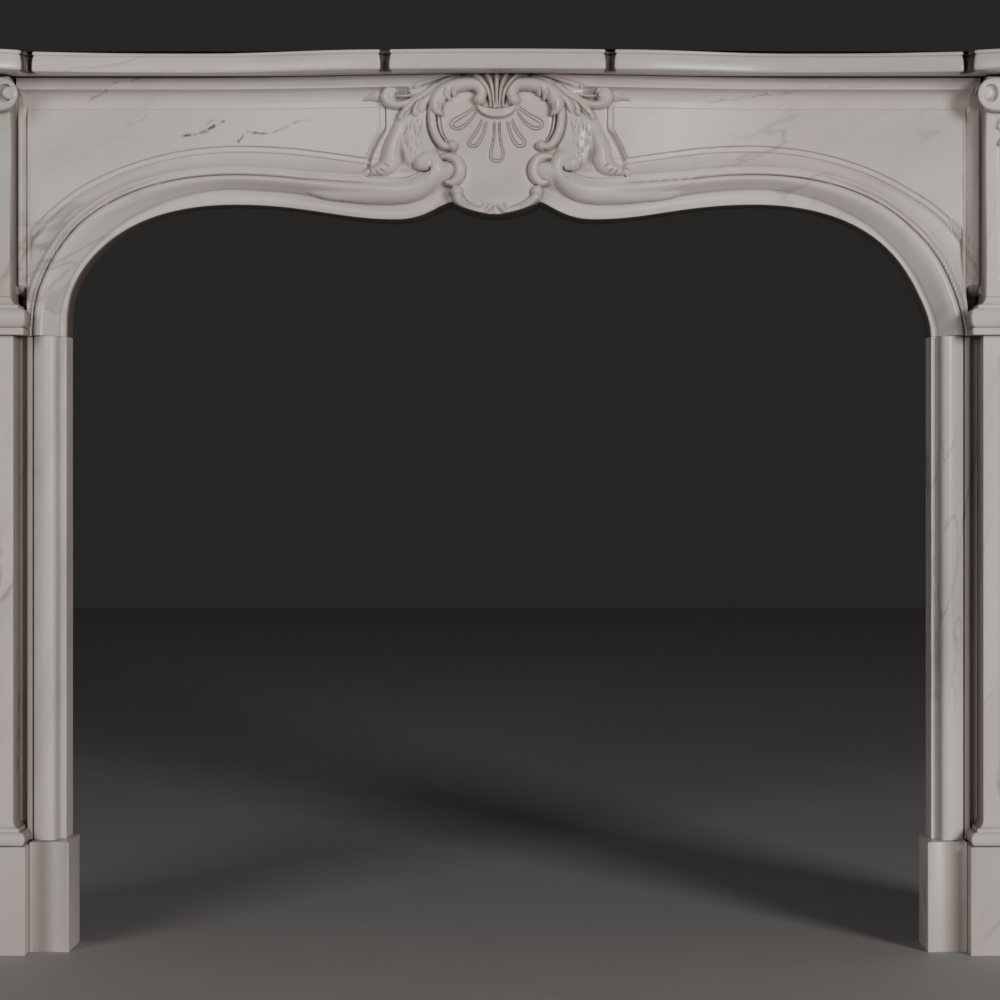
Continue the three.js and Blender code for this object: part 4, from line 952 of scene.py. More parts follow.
@dataclass
class Frieze:
    """The carved and moulded slab over the opening, as one closed skin of rings across the front.

    Attributes:
        arch: The head of the opening.
        top: Height of the top face.
        outer: Half of the length.
        back: Depth of the back face.
        recess: Depth of the rebate that clears the pilaster's foot.
        field_f: Depth of the framed field.
        field_top: Top edge of the field, over the springing.
        field_side: Outer edge of the field, from the middle.
        strip_f: Depth of the strip round the field.
        cove_low: Height at which the cove under the top fillet starts.
        cove_high: Height at which it ends.
        fillet_f: Depth of the top fillet's lower edge.
        pitch: Spacing of the rings over the carving.
        near_rows: Rows over the arch's mouldings.
        mid_rows: Rows between the mouldings and the edge.
        far_rows: Rows along the edge.
    """

    arch: Arch = field(default_factory=Arch)
    top: float = 1090.7
    outer: float = 602.7
    back: float = 95.0
    recess: float = 122.0
    field_f: float = 155.0
    field_top: float = 284.2
    field_side: float = 585.2
    strip_f: float = 152.9
    cove_low: float = 1059.4
    cove_high: float = 1075.6
    fillet_f: float = 168.0
    pitch: float = 1.1
    near_rows: int = 80
    mid_rows: int = 44
    far_rows: int = 42

    def columns(self) -> tuple[np.ndarray, np.ndarray]:
        """Where each ring starts on the lower edge and ends on the outer edge.

        Returns:
            Inner and outer ends as rows of x and z, from the middle to the joint with the jamb.
        """
        spring = np.array([0.0, self.arch.spring])
        lower = np.vstack([self.arch.lobe[::-1], self.arch.line[::-1][1:]]) + spring
        lower[-1, 1] = self.arch.spring + GAP / 2
        carved = 172
        grow = carved + np.cumsum(np.linspace(self.pitch, 5.0, 26))
        fine = np.concatenate([np.arange(0, carved, self.pitch), grow])
        start = int(np.searchsorted(lower[:, 0], fine[-1]))
        fine_low = np.stack([fine, np.interp(fine, lower[:start, 0], lower[:start, 1])], 1)
        rest = lower[start:]
        count = 84
        shares = np.linspace(0, 1, count + 1)[1:]
        inner = np.vstack([fine_low, even(rest, shares)])
        corner = np.array([self.outer, self.top])
        path = np.array([[fine[-1], self.top], corner, [self.outer, lower[-1, 1]]])
        turn = (self.outer - fine[-1]) / (self.outer - fine[-1] + self.top - lower[-1, 1])
        at = int(round(turn * count))
        over, down = np.linspace(0, turn, at + 1)[1:], np.linspace(turn, 1, count - at + 1)[1:]
        stretched = np.concatenate([over, down])
        outer = np.vstack([np.stack([fine, np.full_like(fine, self.top)], 1), even(path, stretched)])
        return inner, outer

    def grid(self) -> tuple[np.ndarray, np.ndarray]:
        """Places on the front by column and row, near rows offset from the arch, far rows from the edge."""
        inner, outer = self.columns()
        tangent = np.gradient(inner, axis=0)
        out = np.stack([-tangent[:, 1], tangent[:, 0]], 1)
        out /= np.hypot(*out.T)[:, None]
        upright = 1 - smooth((inner[:, 0] - 215) / 110)
        out = mix(out, np.array([0.0, 1.0]), upright[:, None])
        out /= np.hypot(*out.T)[:, None]
        at_side = outer[:, 1] < self.top - 1e-6
        corner = np.hypot(outer[:, 0] - self.outer, outer[:, 1] - self.top)
        lean = np.clip(1 - corner / 80.0, 0, 1)
        inward = -np.stack([0.46 * np.where(at_side, 1.0, lean), np.where(at_side, lean, 1.0)], -1)
        reach = np.hypot(*(outer - inner).T)
        near = np.minimum(80.0, 0.62 * reach)
        far = np.minimum(43.0, 0.30 * reach)
        first = np.concatenate([[0, 0.35, 0.9, 1.7, 2.7], np.linspace(3.7, 80.0, self.near_rows - 4)]) / 80.0
        a = inner[:, None] + out[:, None] * (first[None, :, None] * near[:, None, None])
        back = np.linspace(1, 0, self.far_rows + 1)
        c = outer[:, None] + inward[:, None] * (back[None, :, None] * far[:, None, None])
        t = np.linspace(0, 1, self.mid_rows + 2)[1:-1]
        b = mix(a[:, -1:], c[:, :1], t[None, :, None])
        places = np.concatenate([a, b, c], axis=1)
        return places[..., 0], places[..., 1]

    def leg_line(self) -> np.ndarray:
        """The edge of the flat field beside the carved leg, from its top down to the arch."""
        return np.array([
            [145.6, 284.3], [145.2, 258.5], [148.5, 252.0], [153.5, 243.5],
            [158.5, 233.5], [162.8, 222.5], [165.0, 212.0], [166.0, 204.0],
        ])

    def ground(self, x: np.ndarray, z: np.ndarray) -> tuple[np.ndarray, np.ndarray]:
        """Depth of every moulding and flat before any carving, and the painted shade and grime in their
        corners.
        """
        rise = z - self.arch.spring
        whole = np.vstack([self.arch.line, self.arch.lobe[1:]])
        d, share = nearest(x, rise, whole[::3])
        share = np.clip(share * (len(whole) / len(self.arch.line)), 0, 1)
        edge = self.arch.section(share)[2]
        leg = self.leg_line()
        leg_gap = nearest(x, rise, leg)[0]
        left = x < np.interp(rise, leg[::-1, 1], leg[::-1, 0])
        leg_out = np.where(left, leg_gap, -leg_gap)
        past_edge = np.maximum(rise - self.field_top, x - self.field_side)
        outside = np.maximum(np.maximum(leg_out, past_edge), edge - d)
        f = mix(self.field_f, self.strip_f, smooth((outside + 0.5) / 1.2))
        moulded, shade_and_grime = self.arch.moulding(d, share)
        f = np.where(d < edge - 0.6, moulded, f)
        clear = d > edge - 4
        # Painted shade along the step up to the field, stronger beside the leg.
        by_leg = np.where(leg_out > outside - 0.01, 0.5, 0.16)
        shade_and_grime = np.maximum(shade_and_grime, by_leg * np.exp(-(((outside - 0.2) / 0.7) ** 2)) * clear)

        beside = smooth((leg_out - 6.8) / 1.2) * (d > 50) * (x < 175) * (rise < 286)
        f = mix(f, 155.2, beside)
        lower = smooth((262 - rise) / 14)
        from_band = (leg_out - mix(7.0, 4.4, lower)) / mix(1.0, 2.4, lower)
        # A sunk band beside the leg, darkened with painted shade.
        band = np.exp(-(from_band**2)) * (rise < 287) * (x < 175)
        f = f - band * mix(1.2, 3.2, lower)
        shade_and_grime = np.maximum(shade_and_grime, 0.72 * band * clear)

        u = np.clip((z - self.cove_low) / (self.cove_high - self.cove_low), 0, 1)
        cove = mix(self.strip_f, self.fillet_f, 1 - np.sqrt(np.clip(1 - u * u, 0, 1)))
        over = smooth(z - self.cove_low + 0.8)
        f = np.where(z > self.cove_low - 0.6, np.maximum(f, mix(f, cove, over)), f)
        fillet = self.fillet_f + 2.0 * smooth((z - self.cove_high) / 0.9)
        f = np.where(z > self.cove_high, fillet, f)
        f = f - 1.0 * np.exp(-(((z - 1083.5) / 5.5) ** 2)) * (z > 1076)

        frame_f = self.side_profile(x)
        upper = smooth((z - 1042) / 16)
        beside_console = mix(frame_f, self.strip_f, upper)
        beside_console = np.maximum(beside_console, np.where(z > self.cove_low - 0.6, f, 0.0))
        low = smooth((900.0 - z) / 60.0) * smooth((62.0 - d) / 12.0)
        beside_console = mix(beside_console, np.minimum(moulded, 160.5), low)
        f = np.where((x > self.field_side) & (d > 40.0), beside_console, f)
        # Painted shade in the crease of the upright frame and at its edge beside the console.
        lines = np.exp(-(((x - 590.2) / 1.1) ** 2)) * 0.34 + np.exp(-(((x - 602.7) / 2.0) ** 2)) * 0.34
        shade_and_grime = np.maximum(shade_and_grime, lines * (1 - upper) * (d > 40))
        tuck = smooth((828.0 - z) / 8.0) * smooth((x - 589.2) / 1.6)
        f = mix(f, self.recess, tuck)
        return f, np.where(d < 0.5, 0.1, shade_and_grime)

    def side_profile(self, x: np.ndarray) -> np.ndarray:
        """Depth across the upright frame beside each console: a bead, a valley, then a broad flat roll."""
        places = [583.0, 584.8, 585.8, 587.0, 588.2, 589.4, 591.0, 592.4, 594.2, 596.2, 598.4, 600.6, 602.7]
        depths = [152.9, 154.6, 156.8, 157.6, 156.4, 153.2, 152.4, 154.2, 156.2, 157.4, 157.8, 157.6, 156.6]
        return np.interp(x, places, depths)

    def build(self) -> bpy.types.Object:
        """Carves the right half, mirrors it and closes the slab.

        Returns:
            The frieze, with the attribute that paints shade and grime into its hollows.
        """
        x, z = self.grid()
        f, crease_shade_and_grime = self.ground(x, z)
        zone = (np.abs(x) < 245) & (z > self.arch.spring + 140)
        relief = Relief(x[zone], z[zone], f[zone].copy(), crease_shade_and_grime[zone].copy())
        Cartouche(self.arch.spring).carve(relief)
        f[zone] = relief.f
        crease_shade_and_grime[zone] = relief.crease_shade_and_grime
        # Painted shade in every hollow, by how far it lies under its neighbours.
        crease_shade_and_grime = np.maximum(crease_shade_and_grime, 0.5 * hollows(f))
        f[:, 0] -= 1.4
        f[:, 1] -= 0.5
        x = np.concatenate([-x[:0:-1], x])
        z = np.concatenate([z[:0:-1], z])
        f = np.concatenate([f[:0:-1], f])
        crease_shade_and_grime = np.concatenate([crease_shade_and_grime[:0:-1], crease_shade_and_grime])
        rise = z - self.arch.spring
        carved = smooth((rise - 160) / 12) * smooth((300 - np.abs(x)) / 100)
        x = x + self.arch.drift(x, rise) + 2.4 * carved
        f = f + self.arch.bow(x)
        reveal_f = np.stack([np.full(len(x), self.back), f[:, 0] - 14, f[:, 0] - 2.2], 1)
        ring_x = np.concatenate([x, x[:, -1:], np.repeat(x[:, :1], 3, 1)], 1)
        ring_z = np.concatenate([z, z[:, -1:], np.repeat(z[:, :1], 3, 1)], 1)
        ring_f = np.concatenate([f, np.full((len(x), 1), self.back), reveal_f], 1)
        piece = ring_piece("frieze_carved", front(ring_x, ring_f, ring_z), 38.0)
        shade_and_grime = np.zeros(ring_x.shape)
        shade_and_grime[:, : crease_shade_and_grime.shape[1]] = crease_shade_and_grime
        # Painted shade on the reveal under the arch, darkest at its back.
        shade_and_grime[:, -3:] = [0.85, 0.8, 0.45]
        paint_shade_and_grime(piece, shade_and_grime)
        return piece


# ---------------------------------------------------------------- jambs, pilasters, consoles and feet


@dataclass
class Jamb:
    """The moulded jamb beside the opening, a plan profile carried up its height."""

    side: int
    inner: float = 543.5
    low: float = 137.3
    high: float = 768.35
    back: float = 95.0

    def profile(self) -> np.ndarray:
        """The plan, as distance out from the opening and depth."""
        d = np.concatenate([[0, 0.3, 0.8, 1.4], np.linspace(2.2, 47.8, 66)])
        valley, groove = 8.0, 39.5
        u = np.clip((d - valley) / (groove - valley), 0, 1)
        across = np.clip(d / valley, 0, 1)
        fascia = 148.0 - 1.0 * np.sin(np.pi * across) - 0.8 * across
        near_crest = (1 - np.clip(1 - u / 0.36, 0, 1) ** 2.2) ** 0.45
        roll = 147.0 + 19.0 * near_crest * np.cos(np.clip((u - 0.36) / 0.64, 0, 1) * 1.15)
        strip = 153.0 - 6.0 * np.exp(-(((d - 40.2) / 1.1) ** 2))
        f = np.where(d < valley, fascia, np.where(d < groove, roll, strip))
        f[:4] -= np.array([1.5, 0.8, 0.3, 0.08])
        plan = np.stack([d, f], 1)
        wing = np.array([
            [48.1, 152.4], [48.1, 150.4], [48.1, 139.6], [49.0, 138.8], [59.2, 138.6],
            [59.2, self.back], [0, self.back], [0, 144.0],
        ])
        return np.vstack([plan, wing])

    def build(self) -> bpy.types.Object:
        """Carries the plan from the foot block to the springing."""
        plan = self.profile()
        heights = np.array([self.low, self.low + 0.4, self.high - 0.4, self.high])
        x = self.side * (self.inner + plan[:, 0])
        rings = front(x[None, :], plan[None, :, 1], heights[:, None])
        inset = np.array([1.0, 0.0, 0.0, 1.0])[:, None] * 0.35
        rings[..., 1] += inset * (plan[:, 1] > 121)
        piece = ring_piece(f"jamb_moulded_{side_name(self.side)}", rings, 30.0)
        paint_shade_and_grime(piece, np.tile(self.shade_and_grime(plan), (len(heights), 1)))
        return piece

    def shade_and_grime(self, plan: np.ndarray) -> np.ndarray:
        """How dark the painted shade and grime in the quirk, the valley and the recess are, along the plan.
        """
        d, f = plan.T
        dark = 0.7 * np.exp(-(((d - 40.2) / 1.0) ** 2)) + 0.40 * np.exp(-(((d - 9.0) / 3.2) ** 2))
        dark += 0.55 * smooth((d - 40.8) / 1.2)
        return np.where(f < 146, np.where(d > 40, 0.45, 0.12), dark)


def side_name(side: int) -> str:
    """The word for a side."""
    return "right" if side > 0 else "left"


def foot_levels(low: float, torus: float, spread: float) -> list[tuple[float, float]]:
    """Heights and spreads of a torus with a fillet and a small hollow over it.

    Args:
        low: Height of the underside.
        torus: Height of the torus.
        spread: How far the torus stands out.

    Returns:
        Pairs of height and spread, from the bottom up.
    """
    turn = np.linspace(-0.5, 0.5, 13) * np.pi
    levels = [(low, spread - 4.0)]
    levels += [(low + torus / 2 * (1 + np.sin(a)), spread - 6.0 + 6.0 * np.cos(a)) for a in turn]
    top = low + torus
    levels += [(top + 0.2, 8.6), (top + 4.2, 8.4), (top + 4.4, 7.8)]
    sweep = np.linspace(0.15, 1, 7) * np.pi / 2
    return levels + [(top + 4.4 + 9.5 * (1 - np.cos(a)), 7.8 * (1 - np.sin(a))) for a in sweep]


@dataclass
class Pilaster:
    """A pilaster with a moulded foot and a sunk panel on its front."""

    side: int
    inner: float = 603.0
    outer: float = 753.0
    depth: float = 190.0
    low: float = 134.3
    high: float = 768.35
    torus: float = 17.0
    spread: float = 17.0

    def build(self) -> bpy.types.Object:
        """Stacks plan rings up the height, and sinks the panel between two of them."""
        levels = foot_levels(self.low, self.torus, self.spread)
        levels += [(self.high - 0.6, 0.0), (self.high, -0.5)]
        z = np.array([level[0] for level in levels])
        spread = np.array([level[1] for level in levels])
        plan = rounded_plan(self.inner - spread, self.outer + spread, self.depth + spread, 1.6)
        plan = clear_of_jamb(plan)
        rows, columns, _ = plan.shape
        rings = front(self.side * plan[..., 0], plan[..., 1], z[:, None])
        vertices = rings.reshape(-1, 3)
        flip = volume_of(rings) < 0
        faces = ring_faces(rows, columns, flip)
        left, right = 9, 10
        row = rows - 3
        below, above = row * columns, (row + 1) * columns
        corners = [below + left, below + right, above + right, above + left]
        faces = [face for face in faces if set(face) != set(corners)]
        panel = self.panel_loops()
        start, loops = len(vertices), len(panel)
        extra = front(self.side * panel[..., 0], panel[..., 1], panel[..., 2])
        numbers = np.vstack([corners, start + np.arange(4 * loops).reshape(loops, 4)])
        way = -1 if flip else 1
        for k in range(4):
            n = (k + 1) % 4
            for a, b in zip(numbers[:-1], numbers[1:]):
                faces.append(tuple(int(v) for v in (a[k], a[n], b[n], b[k])[::way]))
        faces.append(tuple(int(v) for v in numbers[-1][::way]))
        vertices = np.vstack([vertices, extra.reshape(-1, 3)])
        piece = new_piece(f"pilaster_panelled_{side_name(self.side)}", vertices, faces, 30.0)
        # Painted shade, with some grime, on the inner side faces in the recess and in the quirk round the
        # panel.
        shade_and_grime = np.zeros((rows, columns))
        shade_and_grime[:, :5] = 0.66
        shade_and_grime[:, 5] = 0.6
        panel_shade_and_grime = np.repeat(np.where(np.arange(loops) == loops - 2, 0.5, 0.05), 4)
        paint_shade_and_grime(piece, np.concatenate([shade_and_grime.reshape(-1), panel_shade_and_grime]))
        return piece

    def panel_loops(self) -> np.ndarray:
        """Rectangles from the panel's edge in to its floor: an arris, a slope, a quirk, then the floor."""
        steps = [
            (0.0, 0.0), (0.5, -0.5), (1.0, -1.6), (2.6, -3.0), (4.6, -4.4),
            (6.6, -5.3), (7.4, -5.5), (7.8, -6.4), (9.2, -6.2),
        ]
        margin = 18.6
        loops = []
        for inset, sink in steps:
            x0, x1 = self.inner + margin + inset, self.outer - margin - inset
            z0, z1 = 189.0 + inset, 744.0 - inset
            f = self.depth + sink
            loops.append([(x0, f, z0), (x1, f, z0), (x1, f, z1), (x0, f, z1)])
        return np.array(loops)


def clear_of_jamb(plan: np.ndarray) -> np.ndarray:
    """Keeps the back of a moulded foot behind the jamb's wing.

    Args:
        plan: Rings of x and depth that start and end at the back.

    Returns:
        The rings with a notch at their inner back corner.
    """
    inner = plan[:, 1, 0]
    strip = np.maximum(inner, 588.8)
    notch = [(603.0, plan[:, 0, 1]), (603.0, 122.4), (strip, 122.4), (strip, 148.4), (inner, 148.4)]
    pairs = [np.stack([np.broadcast_to(v, inner.shape) for v in pair], -1) for pair in notch]
    extra = np.stack(pairs, 1)
    return np.concatenate([extra, plan[:, 1:]], 1)


@dataclass
class Console:
    """The console over a pilaster: a hollow-fronted shaft on a moulded foot, with volutes and a leaf."""

    side: int
    inner: float = 606.0
    outer: float = 750.0
    depth: float = 190.0
    low: float = 768.7
    high: float = 1090.7
    middle: float = 678.0
    head_low: float = 1044.6
    head_f: float = 215.0
    ring_x: float = 613.4
    ring_z: float = 1065.4
    ring_r: float = 20.4
    cap: float = 1088.2

    def shaft_front(self, z: np.ndarray) -> np.ndarray:
        """Depth of the face up its height, a slow S."""
        heights = [816, 840, 880, 930, 980, 1020, 1044, 1060, 1091]
        depths = [193.0, 196.5, 198.0, 195.5, 191.5, 192.5, 196.5, 200.0, 203.0]
        line = catmull(np.array(list(zip(heights, depths)), float), 200)
        return np.interp(z, line[:, 0], line[:, 1])

    def relief(self, x: np.ndarray, z: np.ndarray, base: np.ndarray) -> tuple[np.ndarray, np.ndarray]:
        """Carves the panel, the leaf and the head on the inner half of the face.

        Args:
            x: Distance out, folded about the middle so that both halves are alike.
            z: Heights.
            base: Depth of the plain face.

        Returns:
            Depth of the carved face, and the painted shade and grime in its cuts.
        """
        panel = np.minimum(np.minimum(x - 621.0, z - 838.0), self.head_low + 20 - z)
        f = base - 5.2 * smooth(panel / 7.0) - 0.9 * np.exp(-(((panel - 7.6) / 0.7) ** 2))
        leaf = Relief(x - 7.0 * smooth((686.0 - x) / 50.0), z, f.copy(), np.zeros_like(f))
        ground = 192.5
        leaf.plate([(614, 1052), (613, 1030), (619, 1017), (615.4, 1007), (622, 996), (629, 988),
                    (628, 978), (640, 968),
                    (648, 955), (662, 944), (678, 930), (700, 930), (700, 1052)], 197.5, 5.0, 4.0)
        lobes = [
            [(672, 1040, 15, 9), (640, 1042, 17, 9), (622, 1034, 13, 7), (614.6, 1027, 5, 3)],
            [(674, 1022, 14, 9), (646, 1022, 16, 9), (626, 1013, 12, 7), (616.4, 1006, 5, 3)],
            [(674, 1000, 14, 9), (652, 1000, 15, 9), (634, 992, 12, 7), (624, 984, 5, 3)],
            [(675, 978, 13, 9), (658, 978, 14, 9), (643, 970, 11, 7), (634, 962, 4, 3)],
            [(676, 958, 12, 8), (664, 957, 12, 8), (654, 949, 9, 6), (649, 942, 4, 3)],
        ]
        for lobe in lobes:
            leaf.stroke(lobe, ground + 4, Crown.ROUND, 1.0, 0.6)
            spine = [(px, pz) for px, pz, _, _ in lobe]
            leaf.groove(spine, 2.2, 2.2, 0.25)
        leaf.stroke([(678, 1050, 12, 13), (678, 1000, 10, 13), (678, 950, 8, 11),
                     (678, 930, 3, 5)], ground + 3, Crown.ROUND, 1.2)
        f = leaf.f
        ring = self.ring_r - np.hypot(x - self.ring_x, z - self.ring_z)
        bolster = np.minimum(x - self.ring_x, np.minimum(z - self.head_low, 1086.0 - z))
        head = np.maximum(ring, bolster)
        swell = 3.6 * np.sqrt(np.clip(1 - ((z - self.ring_z) / 21.5) ** 2, 0, 1)) * smooth((x - 622) / 10)
        face = self.head_f + swell
        eye_x, eye_z, eye_r = 603.8, 1066.6, 7.9
        eye = np.hypot(x - eye_x, z - eye_z)
        angle = np.arctan2(z - eye_z, x - eye_x)
        open_side = smooth((np.cos(angle) + 0.30) / 0.55)
        width = 6.2 * smooth((np.cos(angle) + 0.35) / 1.2)
        trench = np.clip(1 - np.abs(eye - eye_r - width / 2) / np.maximum(width / 2, 0.6), 0, 1)
        face = face - 6.5 * open_side * smooth(trench / 0.5)
        face = np.where(eye < eye_r, face + 1.2 * np.sqrt(np.clip(1 - (eye / eye_r) ** 2, 0, 1)), face)
        line_r = np.abs(ring - 6.6)
        face = face - 1.4 * np.clip(1 - line_r / 0.9, 0, 1) * smooth((np.cos(angle - 3.9) - 0.75) / 0.2)
        edge = np.clip(head / 3.0, 0, 1)
        rounded = face - 3.0 * (1 - np.sqrt(np.clip(1 - (1 - edge) ** 2, 0, 1)))
        # Painted shade in the trench round the volute's eye and along the head's lower edge.
        dark = 0.6 * open_side * trench + 0.5 * np.exp(-(((head + 0.6) / 0.9) ** 2)) * (z < self.head_low + 3)
        crease_shade_and_grime = np.where(head > 0, np.clip(dark, 0, 1), np.maximum(leaf.crease_shade_and_grime, dark * (head < 0)))
        return np.where(head > 0, np.maximum(rounded, f), f), crease_shade_and_grime

    def build(self) -> bpy.types.Object:
        """Stacks rings up the height; the face of each ring is carved."""
        foot = foot_levels(self.low + 8.6, 24.0, 17.0)
        foot_z = np.array([self.low, self.low + 8.0, self.low + 8.5] + [level[0] for level in foot])
        foot_s = np.array([14.6, 14.6, 13.4] + [level[1] for level in foot])
        body_z = np.concatenate([
            np.linspace(foot_z[-1] + 1.5, 925, 40),
            np.linspace(926.4, 1044.2, 92),
            np.linspace(1044.7, 1086.4, 44),
            [1087.0, 1088.1, 1088.3, 1090.2, self.high],
        ])
        z = np.concatenate([foot_z, body_z])
        spread = np.concatenate([foot_s, np.zeros(len(body_z))])
        inner = self.inner - spread - 3.0 * smooth((foot_z[-1] + 1 - z) / 20.0)
        depth = np.where(z < 816, self.depth + spread, self.shaft_front(z))
        depth = np.maximum(depth, self.depth + spread)
        depth = np.where(z > self.cap, depth - 9.0, depth)
        circle = self.ring_x - np.sqrt(np.clip(self.ring_r**2 - (z - self.ring_z) ** 2, 0, None))
        inner = np.where((z > self.head_low) & (z < 1086.2), np.minimum(inner, circle), inner)
        inner = np.maximum(inner, 586.2)
        u = np.linspace(0, 1, 61)
        span = self.middle - inner
        corner = np.minimum(1.6, span)
        turn = np.linspace(0, np.pi / 2, 4)
        round_x = inner[:, None] + corner[:, None] * (1 - np.cos(turn))[None, :]
        round_f = corner[:, None] * (1 - np.sin(turn))[None, :]
        face_x = (inner + corner)[:, None] + (span - corner)[:, None] * u[None, 1:]
        x = np.concatenate([round_x, face_x], 1)
        base = depth[:, None] - np.concatenate([round_f, np.zeros_like(face_x)], 1)
        f = base.copy()
        crease_shade_and_grime = np.zeros_like(f)
        carved = z > 836
        zz = np.repeat(z[:, None], x.shape[1], 1)
        f[carved], crease_shade_and_grime[carved] = self.relief(x[carved], zz[carved], base[carved])
        f = np.where(zz > self.cap, base, f)
        lip = (inner < 605.5)[:, None] & (x - inner[:, None] < 1.2) & (zz < self.high - 4)
        f = np.where(lip & (zz > self.head_low), np.maximum(f, self.head_f - 3.4), f)
        mirror_x = 2 * self.middle - x[:, -2::-1]
        x = np.concatenate([x, mirror_x], 1)
        f = np.concatenate([f, f[:, -2::-1]], 1)
        crease_shade_and_grime = np.concatenate([crease_shade_and_grime, crease_shade_and_grime[:, -2::-1]], 1)
        rows = len(z)
        head = (z > self.head_low) & (z < 1086.2)
        body = z > 820
        side_f = np.where(body, 152.0, 148.4)
        wall = 603.0
        strip = np.where(body, wall, np.maximum(inner, 589.0))
        shaft = np.where(body, wall, np.maximum(wall, inner))
        flank = np.where(head, np.maximum(inner, 606.0), inner)
        before = f[:, 0] - 0.3
        waist_f = np.where(head, np.minimum(184.0, before - 2), mix(side_f, before, 0.5))
        near_f = np.where(head, np.minimum(201.0, before - 1), mix(side_f, before, 0.8))
        plan_x = np.stack([shaft, shaft, strip, strip, flank, flank, mix(flank, inner, 0.5)], 1)
        plan_f = np.stack([0 * z, 0 * z + 122.4, 0 * z + 122.4, side_f, side_f + 0.2, waist_f, near_f], 1)
        plan_x = np.concatenate([plan_x, x, x[:, -1:]], 1)
        plan_f = np.concatenate([plan_f, f, np.zeros((rows, 1))], 1)
        rings = front(self.side * plan_x, plan_f, z[:, None])
        piece = ring_piece(f"console_carved_{side_name(self.side)}", rings, 38.0)
        # Painted shade, with some grime, on the inner side faces and in the carving's cuts and hollows.
        shade_and_grime = np.zeros(plan_x.shape)
        shade_and_grime[:, :5] = 0.6
        shade_and_grime[:, 5] = 0.56
        shade_and_grime[:, 6] = 0.42
        shade_and_grime[:, 7 : 7 + f.shape[1]] = np.maximum(crease_shade_and_grime, 0.4 * hollows(f)) * (z > 800)[:, None]
        # Painted shadow: the top rows under the shelf go black.
        shade_and_grime[z > self.cap] = 1.0
        shade_and_grime[np.abs(z - self.low - 8.5) < 0.3] = 0.6
        paint_shade_and_grime(piece, shade_and_grime)
        return piece


@dataclass
class FootBlock:
    """A plain block under a pilaster or a jamb, its front arrises eased and its face hollowed where asked."""

    name: str
    side: int
    inner: float
    outer: float
    depth: float
    height: float
    back: float = 0.0
    hollow: float = 0.0
    # Strength of the painted shadow over the outer part of the face.
    outer_shadow: float = 0.26

    def build(self) -> bpy.types.Object:
        """Stacks rounded plans from the floor up, with the top edge eased."""
        z = np.array([0.0, self.height - 1.2, self.height - 0.5, self.height])
        inset = np.array([0.0, 0.0, 0.25, 1.0])
        plan = rounded_plan(self.inner + inset, self.outer - inset, self.depth - inset, 1.5, self.back)
        share = np.linspace(0.04, 0.96, 15)
        across = mix(plan[:, 5:6, :], plan[:, 6:7, :], share[None, :, None])
        across[..., 1] -= self.hollow * np.sin(np.pi * share) ** 0.8
        plan = np.concatenate([plan[:, :6], across, plan[:, 6:]], 1)
        rings = front(self.side * plan[..., 0], plan[..., 1], z[:, None])
        piece = ring_piece(f"{self.name}_{side_name(self.side)}", rings, 30.0)
        # Painted shade: the block a little darker all round, as the light falls off near the floor, and a
        # painted shadow over the outer part of its face.
        foot_shade = np.full(plan.shape[1], 0.24)
        foot_shade[6:21] = np.maximum(self.outer_shadow * np.exp(-(((share - 0.68) / 0.34) ** 2)), 0.24)
        paint_shade_and_grime(piece, np.tile(foot_shade, (len(z), 1)))
        return piece


# ---------------------------------------------------------------- shelf


